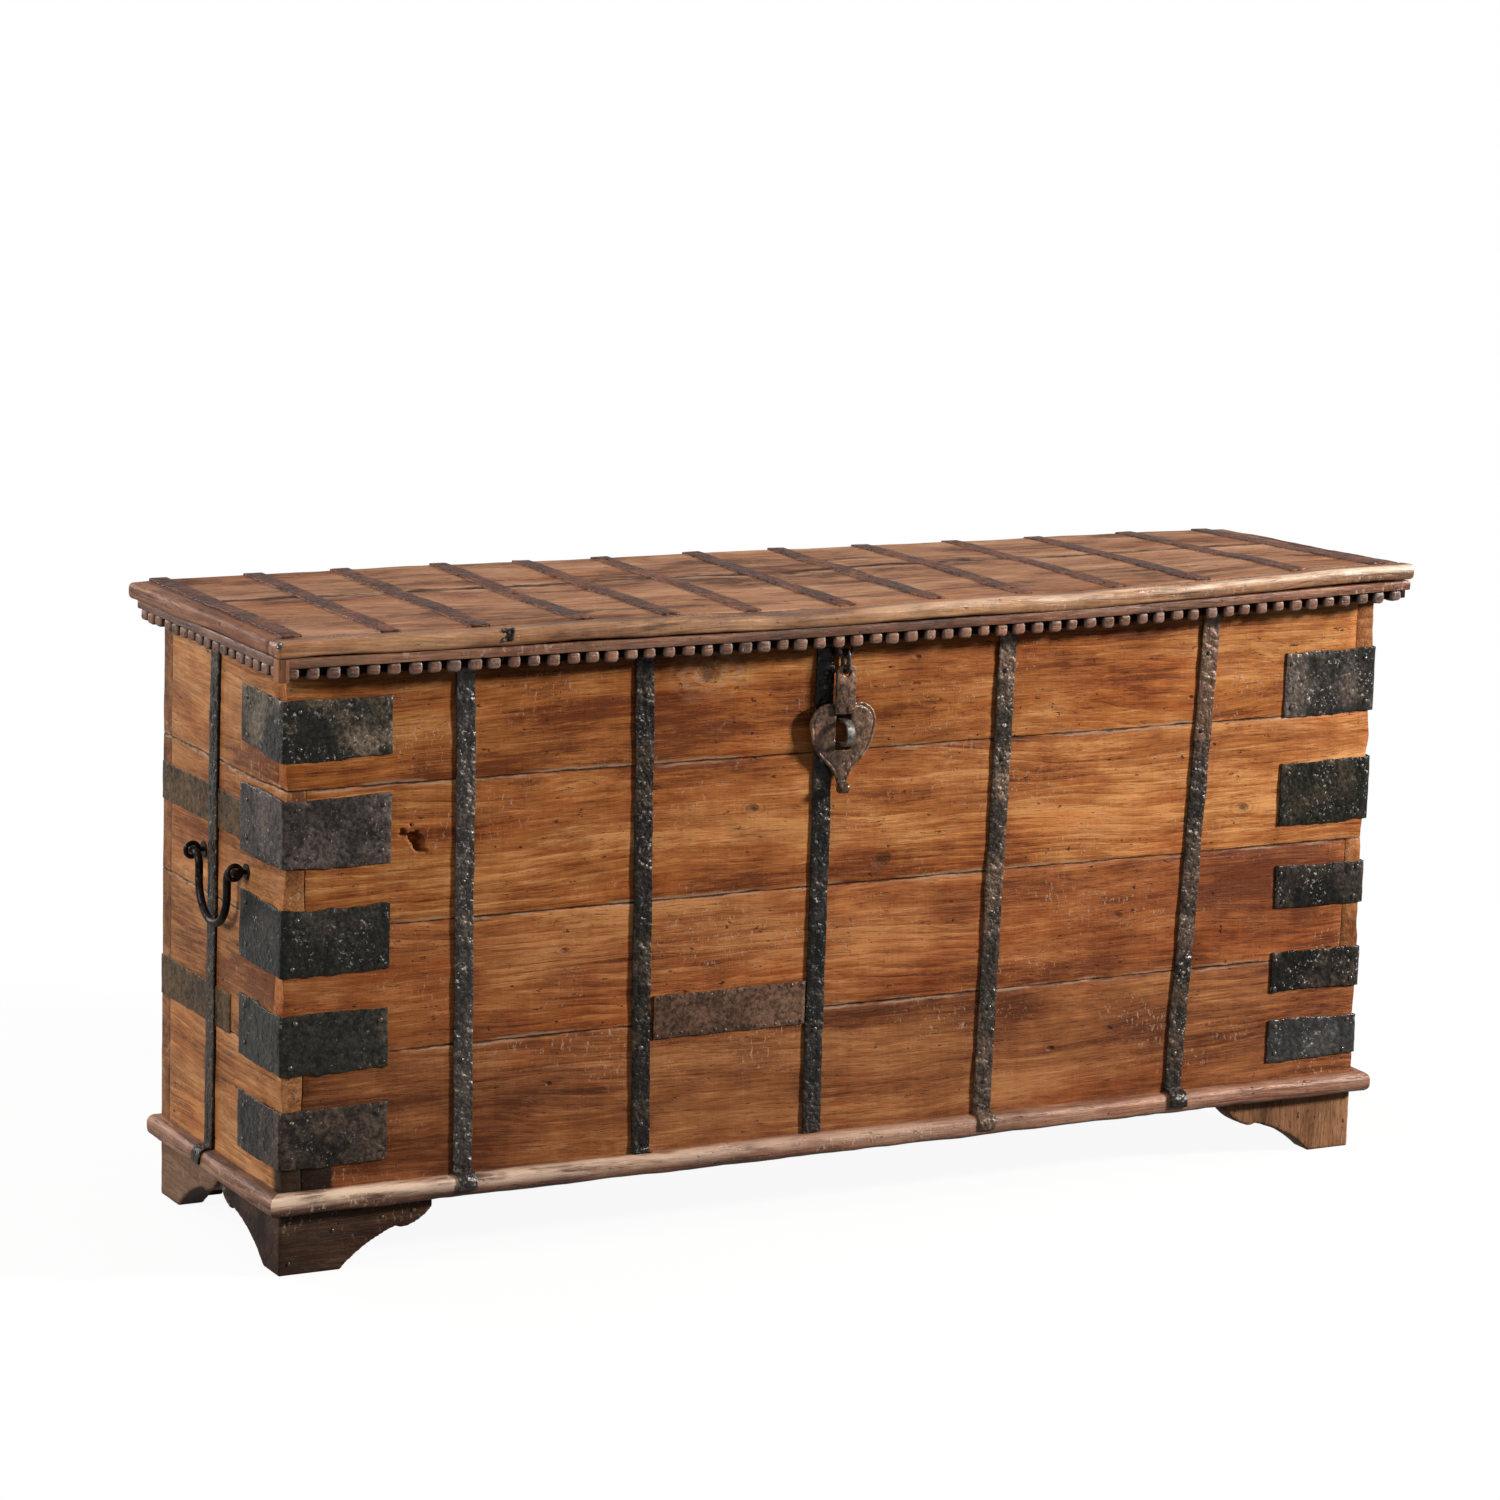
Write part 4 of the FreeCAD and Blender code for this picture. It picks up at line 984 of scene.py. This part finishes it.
low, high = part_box("lid_edge_front")
clip_low = Vector((-0.515, low.y - 0.001, low.z + 0.006))
clip_high = Vector((-0.5, low.y + 0.009, high.z + 0.0008))
clip = sawn_board("lid_edge_clip", clip_low, clip_high, 0.003, 0.001)
swell(clip)
weathered(clip, 0.011, 0.006)
bpy.ops.object.shade_smooth()
stands_for(clip, iron_look("clip_iron", 43.0, (30, 27, 24), (66, 52, 43)), "lid_edge_front")

# Aprons: a square moulding under the lid's edge with a row of dentils carved along its foot, chamfered.
# They are dark with old stain and dust, and no two dentils are quite alike. The dentils are paler on their
# faces and greyer on their chamfers, and their sides are painted near-black as shade; the backing seen between
# them is painted near-black as shade too.
dentil_width = 0.0175
dentil_pitch = 0.026
dentil_depth = 0.016
dentil_shares = ((0.88, 1.06), (0.9, 1.0), (0.86, 1.0))
moulding_height = 0.012
backing_height = 0.024
backing_thickness = 0.007
apron_tones = ((164, 117, 88), (121, 80, 58), (62, 40, 29))
dentil_look = wood_look(
    "dentil_teak", 101.0, (160, 110, 82), (120, 79, 58), (66, 42, 31), scuff=0.8, dentil_shade_and_dust=True, polish=0.4,
)
moulding_look = wood_look("moulding_teak", 103.0, *apron_tones, stain=0.5, scuff=0.9, polish=0.35)
moulding_end_look = wood_look(
    "moulding_end_teak", 105.0, *apron_tones, scuff=0.9, turn=across, polish=0.35,
)
# The backing seen between the dentils is painted near-black as shade.
gap_shade_look = wood_look("backing_teak", 107.0, (52, 36, 27), (36, 24, 18), (22, 15, 11), polish=0.05)


def jog(reach):
    return chance.uniform(-reach, reach)


def carved_dentil():
    """One dentil at the origin, its back on y 0, its top at z 0, its chamfered face to -Y."""
    low = Vector((-dentil_width / 2, -dentil_depth, -dentil_depth))
    tooth = block_between("dentil", low, Vector((dentil_width / 2, 0, 0)))
    switch("EDIT")
    pick(tooth, "EDGE", lambda edge: span(edge, 1) > 0.01)
    bpy.ops.mesh.bevel(offset=0.0042, segments=2)
    pick(tooth, "EDGE", lambda edge: all(vert.co.y < -0.0155 for vert in edge.verts))
    bpy.ops.mesh.bevel(offset=0.0036, segments=2)
    switch("OBJECT")
    show = tooth.data.attributes.new("show", "FLOAT", "FACE")
    for face, mark in zip(tooth.data.polygons, show.data):
        mark.value = 1.0 if face.normal.y < -0.95 else 0.5 if face.normal.y < -0.2 else 0.0
    return tooth


def join_copies(name, model, places):
    """Copy a model to each place, a matrix, and join the copies into one piece."""
    copies = []
    for place in places:
        copied = model.copy()
        copied.data = model.data.copy()
        copied.data.transform(place)
        scene.collection.objects.link(copied)
        copies.append(copied)
    activate(copies[0])
    for copied in copies:
        copied.select_set(True)
    if len(copies) > 1:
        bpy.ops.object.join()
    copies[0].name = name
    return copies[0]


tooth = carved_dentil()
for node, turn, look in (
    ("lid_apron_front", 0, moulding_look),
    ("lid_apron_left", -90, moulding_end_look),
    ("lid_apron_right", 90, moulding_end_look),
):
    low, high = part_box(node)
    foot = high.z - moulding_height
    strip = sawn_board(f"{node}_moulding", Vector((low.x, low.y, foot)), high, 0.008, 0.0018)
    wear(strip, 40, (0.02, 0.0014))
    stands_for(strip, look, node)
    along = 0 if turn == 0 else 1
    wall = {0: high.y, -90: high.x, 90: low.x}[turn]
    run = (high - low)[along]
    count = int((run - dentil_width) / dentil_pitch) + 1
    first = low[along] + (run - (count - 1) * dentil_pitch) / 2
    places = []
    for number in range(count):
        stand = Vector((0, 0, foot))
        stand[along] = first + number * dentil_pitch + jog(0.001)
        stand[1 - along] = wall
        shape = Euler((jog(0.06), jog(0.08), radians(turn) + jog(0.05)))
        worn = [chance.uniform(*shares) for shares in dentil_shares]
        places.append(Matrix.Translation(stand) @ shape.to_matrix().to_4x4() @ Matrix.Diagonal((*worn, 1)))
    teeth = join_copies(f"{node}_dentils", tooth, places)
    finish_with(teeth, "BEVEL", width=0.0012, segments=2, limit_method="ANGLE", angle_limit=radians(40))
    wear(teeth, 50, (0.008, 0.0012))
    stands_for(teeth, dentil_look, node)
    backing_low = Vector((low.x, low.y, high.z - backing_height))
    backing_high = Vector((high.x, high.y, foot))
    if turn > 0:
        backing_high.x = wall + backing_thickness
    else:
        backing_low[1 - along] = wall - backing_thickness
    backing = sawn_board(f"{node}_backing", backing_low, backing_high, 0.02, 0.001)
    stands_for(backing, gap_shade_look, node)
bpy.data.objects.remove(tooth)
low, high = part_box("lid_apron_front")
block_low = Vector((low.x - 0.0008, low.y - 0.0008, low.z))
block_high = Vector((low.x + 0.013, low.y + 0.016, high.z - 0.0005))
block = sawn_board("lid_apron_corner", block_low, block_high, 0.004, 0.001)
wear(block, 50, (0.02, 0.0014))
look = wood_look("corner_block_teak", 109.0, (176, 130, 98), (146, 100, 72), (96, 62, 44), turn=upright)
stands_for(block, look, "lid_apron_front")

# Straps over the lid: the same iron, nailed across the boards and bent down the back edge, three of them
# to the hinges. They are brown and pitted.
lid_strap_looks = [
    iron_look(
        f"lid_iron_{number}", 47 + number * 3.3, (82, 50, 38), (118, 77, 60), (176, 146, 128), wear=0.6,
        gloss=0.08,
    )
    for number in range(3)
]
strap_sink = 0.0012
strap_drops = {
    "lid_straps": ((0, 0, -0.009), (0, 0, -0.009)),
    "lid_hinge_straps": ((0, 0, -0.01), (0, 0, -0.01), (0, -0.012, 0)),
}
for node, drops in strap_drops.items():
    for number, (low, high) in enumerate(solids_of(node), start=1):
        run = high.y - strap_thickness - low.y
        middle = ((low.x + high.x) / 2, low.y + run / 2, high.z - strap_thickness - strap_sink)
        strap = flat_sheet(f"{node}_{number}", (4, 70), (strap_width, run), (0, 0, 0), middle)
        bend_edge(strap, lambda vert: vert.co.y > low.y + run - hair, drops, Vector((0, 0, 1)))
        swell(strap)
        hammered(strap, strap_thickness, strap_edge, {"X": 0.003})
        stands_for(strap, lid_strap_looks[number % 3], node)

# Hinges: rolled knuckles of strap iron on round pins behind the lid. Their leaves are nailed down the back.
knuckle_radius = 0.00705
knuckle_width = 0.009
hinge_look = iron_look("hinge_iron", 57.0, rust=0.6)
coat(hinge_look, nodes["hinge_leaves"], nodes["hinge_pins"])
for number, (low, high) in enumerate(solids_of("hinge_pins"), start=1):
    bpy.ops.mesh.primitive_cylinder_add(
        vertices=24, radius=knuckle_radius, depth=knuckle_width, end_fill_type="NOTHING",
        location=(low + high) / 2, rotation=upright,
    )
    knuckle = bpy.context.object
    knuckle.name = f"lid_knuckle_{number}"
    bpy.ops.object.transform_apply()
    finish_with(knuckle, "SOLIDIFY", thickness=strap_thickness, offset=-1)
    wear(knuckle, 40)
    stands_for(knuckle, hinge_look, "lid_hinge_straps")

# Battens: three bare boards across the underside of the lid that keep it flat.
coat(wood_look("batten_teak", 111.0, *bare_tones, turn=across), nodes["lid_battens"])

# Hasp: a forged heart with a punched line round its edge, riveted to an arm that hangs by a link from an eye
# in the lid. It drops over a staple of bright strip, which takes the padlock.
hasp_look = iron_look(
    "hasp_iron", 121.0, (86, 67, 54), (140, 107, 86), (204, 178, 158), rust=0.55, wear=0.7,
    strength=0.5, gloss=0.35,
)
eye_look = iron_look(
    "eye_iron", 123.0, (52, 48, 44), (84, 72, 64), (170, 165, 160), rust=0.4, wear=0.8, strength=0.3,
)
staple_look = iron_look(
    "staple_iron", 131.0, (120, 118, 114), (150, 146, 140), (196, 192, 186), wear=0.6, strength=0.25,
    gloss=0.5, metal=0.8, depth=0.001,
)
coat(eye_look, nodes["lid_hasp_eye"], nodes["hasp_link"])
coat(hasp_look, nodes["hasp_rivets"])
coat(staple_look, nodes["hasp_staple"])
low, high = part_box("hasp_arm")
arm_thickness = 0.004
arm_hole = 0.0056
hole_drop = 0.0095
arm_round = 0.011
hole_place = ((low.x + high.x) / 2, low.y, high.z - hole_drop)
bpy.ops.mesh.primitive_cylinder_add(
    vertices=32, radius=arm_hole, depth=0.03, location=hole_place, rotation=on_edge,
)
punch = bpy.context.object
arm = block_between("hasp_arm_worn", low, Vector((high.x, low.y + arm_thickness, high.z)))
switch("EDIT")
pick(arm, "EDGE", lambda edge: span(edge, 1) > hair and all(vert.co.z > high.z - hair for vert in edge.verts))
bpy.ops.mesh.bevel(offset=arm_round, segments=5)
switch("OBJECT")
finish_with(arm, "BOOLEAN", object=punch, operation="DIFFERENCE", solver="EXACT")
bpy.data.objects.remove(punch)
finish_with(arm, "REMESH", mode="VOXEL", voxel_size=0.0009)
finish_with(arm, "SMOOTH", factor=0.5, iterations=3)
weathered(arm, 0.012, 0.0012)
bpy.ops.object.shade_smooth()
stands_for(arm, hasp_look, "hasp_arm")
low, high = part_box("hasp_heart")
slot_middle = (low.x + high.x) / 2
slot_half = 0.0115
curl_top = low.z + 0.02
line_depth = 0.0005
rim = bmesh.new()
rim.from_mesh(nodes["hasp_heart"].data)
inner_faces = [
    face for face in rim.faces
    if abs(face.normal.y) > 0.3 or all(abs(vert.co.x - slot_middle) < slot_half for vert in face.verts)
]
bmesh.ops.delete(rim, geom=inner_faces, context="FACES")
rim_tree = BVHTree.FromBMesh(rim)
rim.free()
heart = worked_copy("hasp_heart", 0.001)
finish_with(heart, "SMOOTH", factor=0.5, iterations=3)
switch("EDIT")
for inner, outer in ((0.0032, 0.0056), (0.0038, 0.005)):
    pick(
        heart, "VERT",
        lambda vert: vert.normal.y < -0.6 and vert.co.z > curl_top
        and inner < rim_tree.find_nearest(vert.co)[3] < outer,
    )
    bpy.ops.transform.translate(value=(0, line_depth, 0))
switch("OBJECT")
bpy.ops.object.shade_smooth()
stands_for(heart, hasp_look, "hasp_heart")

# Drop handles: round bar bent to a bail, hung in two eyes on each end. Dark iron, smooth where hands grip it.
handle_look = iron_look(
    "handle_iron", 141.0, (22, 19, 16), (46, 35, 27), (120, 112, 106), rust=0.45, strength=0.3, gloss=0.12,
)
for side in ("left", "right"):
    coat(handle_look, nodes[f"{side}_handle"], nodes[f"{side}_handle_eyes"])

# Nails: hand-made iron nails with low domed heads, through the straps, plates, patch and lid.
bpy.ops.mesh.primitive_uv_sphere_add(segments=9, ring_count=6, radius=1)
nail = bpy.context.object
switch("EDIT")
take_all()
bpy.ops.mesh.bisect(plane_co=(0, 0, -0.2), plane_no=(0, 0, 1), clear_inner=True)
take_all()
bpy.ops.transform.resize(value=(1, 1, 0.42))
switch("OBJECT")
nail_look = iron_look(
    "nail_iron", 151.0, (60, 55, 50), (84, 73, 64), (190, 184, 176), wear=0.9, strength=0.3, gloss=0.6,
)


def drive_nails(name, places, radius, facing=(0, -1, 0), body="carcass", look=nail_look):
    """Nail heads of about that radius at these places, all facing one way."""
    turn = Vector(facing).to_track_quat("Z", "Y").to_matrix().to_4x4()
    heads = []
    for place in places:
        spin = Matrix.Rotation(chance.uniform(0, 6), 4, "Z")
        size = (radius * chance.uniform(0.85, 1.2), radius * chance.uniform(0.85, 1.2), radius, 1)
        heads.append(Matrix.Translation(place) @ turn @ spin @ Matrix.Diagonal(size))
    nails = join_copies(name, nail, heads)
    bpy.ops.object.shade_smooth()
    coat(look, nails)
    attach(nails, body)


strap_nails = []
lowest_nail = 0.11
for number, (lean, wrap, look) in enumerate(front_straps, start=1):
    low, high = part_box(f"front_strap_{number}")
    for share in (0.06, 0.22, 0.39, 0.55, 0.72, 0.9):
        z = lowest_nail + (high.z - lowest_nail) * (share + jog(0.02))
        x = (low.x + high.x) / 2 + lean * (share - 0.5) + jog(0.003)
        strap_nails.append((x, front_wall - strap_thickness, z))
drive_nails("front_strap_nails", strap_nails, 0.0032)
for side, away in sides:
    front_nails = []
    side_nails = []
    for low, high in solids_of(f"{side}_corner_plates"):
        for share in (0.1, 0.92):
            for rise in (0.16, 0.84):
                x = (half_length - (high.x - low.x) * (share + jog(0.03))) * away
                z = low.z + (high.z - low.z) * (rise + jog(0.05))
                front_nails.append((x, front_wall - plate_thickness, z))
        for rise in (0.2, 0.8):
            y = front_wall + (high.y - front_wall) * (0.85 + jog(0.03))
            z = low.z + (high.z - low.z) * (rise + jog(0.05))
            side_nails.append(((half_length + plate_thickness) * away, y, z))
    drive_nails(f"{side}_plate_front_nails", front_nails, 0.003)
    drive_nails(f"{side}_plate_side_nails", side_nails, 0.003, (away, 0, 0))
low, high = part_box("front_patch")
patch_nails = []
patch_count = 14
for edge in (low.z + 0.004, high.z - 0.004):
    for number in range(patch_count):
        x = low.x + (high.x - low.x) * (number + 0.5) / patch_count + jog(0.004)
        patch_nails.append((x, front_wall - 0.0018, edge + jog(0.0015)))
drive_nails("front_patch_nails", patch_nails, 0.0022)
lid_nails = []
for node in strap_drops:
    for low, high in solids_of(node):
        for share in (0.08, 0.5, 0.93):
            y = low.y + (high.y - low.y) * (share + jog(0.03))
            lid_nails.append(((low.x + high.x) / 2 + jog(0.003), y, high.z - 0.0016))
drive_nails("lid_strap_nails", lid_nails, 0.0034, (0, 0, 1), "lid", lid_strap_looks[0])
low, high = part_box("lid_edge_front")
corner_nail = (low.x + 0.004, low.y + 0.003, high.z - 0.0035)
drive_nails("lid_corner_nail", [corner_nail], 0.0045, (-0.5, -0.5, 0.7), "lid", staple_look)
foot_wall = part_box("foot_front_left")[0].y
foot_places = ((-0.762, 0.014), (-0.762, 0.066), (-0.705, 0.050), (-0.640, 0.060), (-0.598, 0.064))
drive_nails("foot_nails", [(x, foot_wall, z) for x, z in foot_places], 0.0024)
bpy.data.objects.remove(nail)

# Warp: the lid has twisted with age, so that its front right corner stands up.
# Its top has been worn thinner along the back, towards the right.


def warp(pieces, low, high, front, back, foot):
    """Bend pieces by lifts along the front and back of a cage, with a share of them at its foot."""
    bpy.ops.object.add(type="LATTICE", location=(low + high) / 2)
    cage = bpy.context.object
    cage.data.points_u = len(front)
    cage.data.interpolation_type_u = "KEY_CARDINAL"
    cage.data.interpolation_type_v = "KEY_LINEAR"
    cage.data.interpolation_type_w = "KEY_LINEAR"
    corner = Vector([max(point.co[axis] for point in cage.data.points) for axis in range(3)])
    cage.scale = [(high - low)[axis] / (2 * corner[axis]) for axis in range(3)]
    for point in cage.data.points:
        along = round((point.co.x / corner.x + 1) / 2 * (len(front) - 1))
        lift = front[along] if point.co.y < 0 else back[along]
        point.co_deform.z += lift * (1 if point.co.z > 0 else foot) / cage.scale.z
    bpy.context.view_layer.update()
    for piece in pieces:
        finish_with(piece, "LATTICE", object=cage)
    bpy.data.objects.remove(cage)


lid_pieces = [
    piece for piece in scene.objects
    if piece.type == "MESH" and piece.get("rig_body") == "lid" and piece.name not in nodes
    and "knuckle" not in piece.name
]
front_lift = (0.002, 0.0, 0.0, 0.004, 0.013)
back_lift = (0.0, -0.001, -0.003, -0.006, -0.010)
still = (0, 0, 0, 0, 0)
cage_room = 1.02
low = cad_low.copy()
low.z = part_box("lid_board_back")[0].z
warp(lid_pieces, low, cad_high, still, back_lift, 0)
warp(lid_pieces, cad_low * cage_room, cad_high * cage_room, front_lift, still, 1)
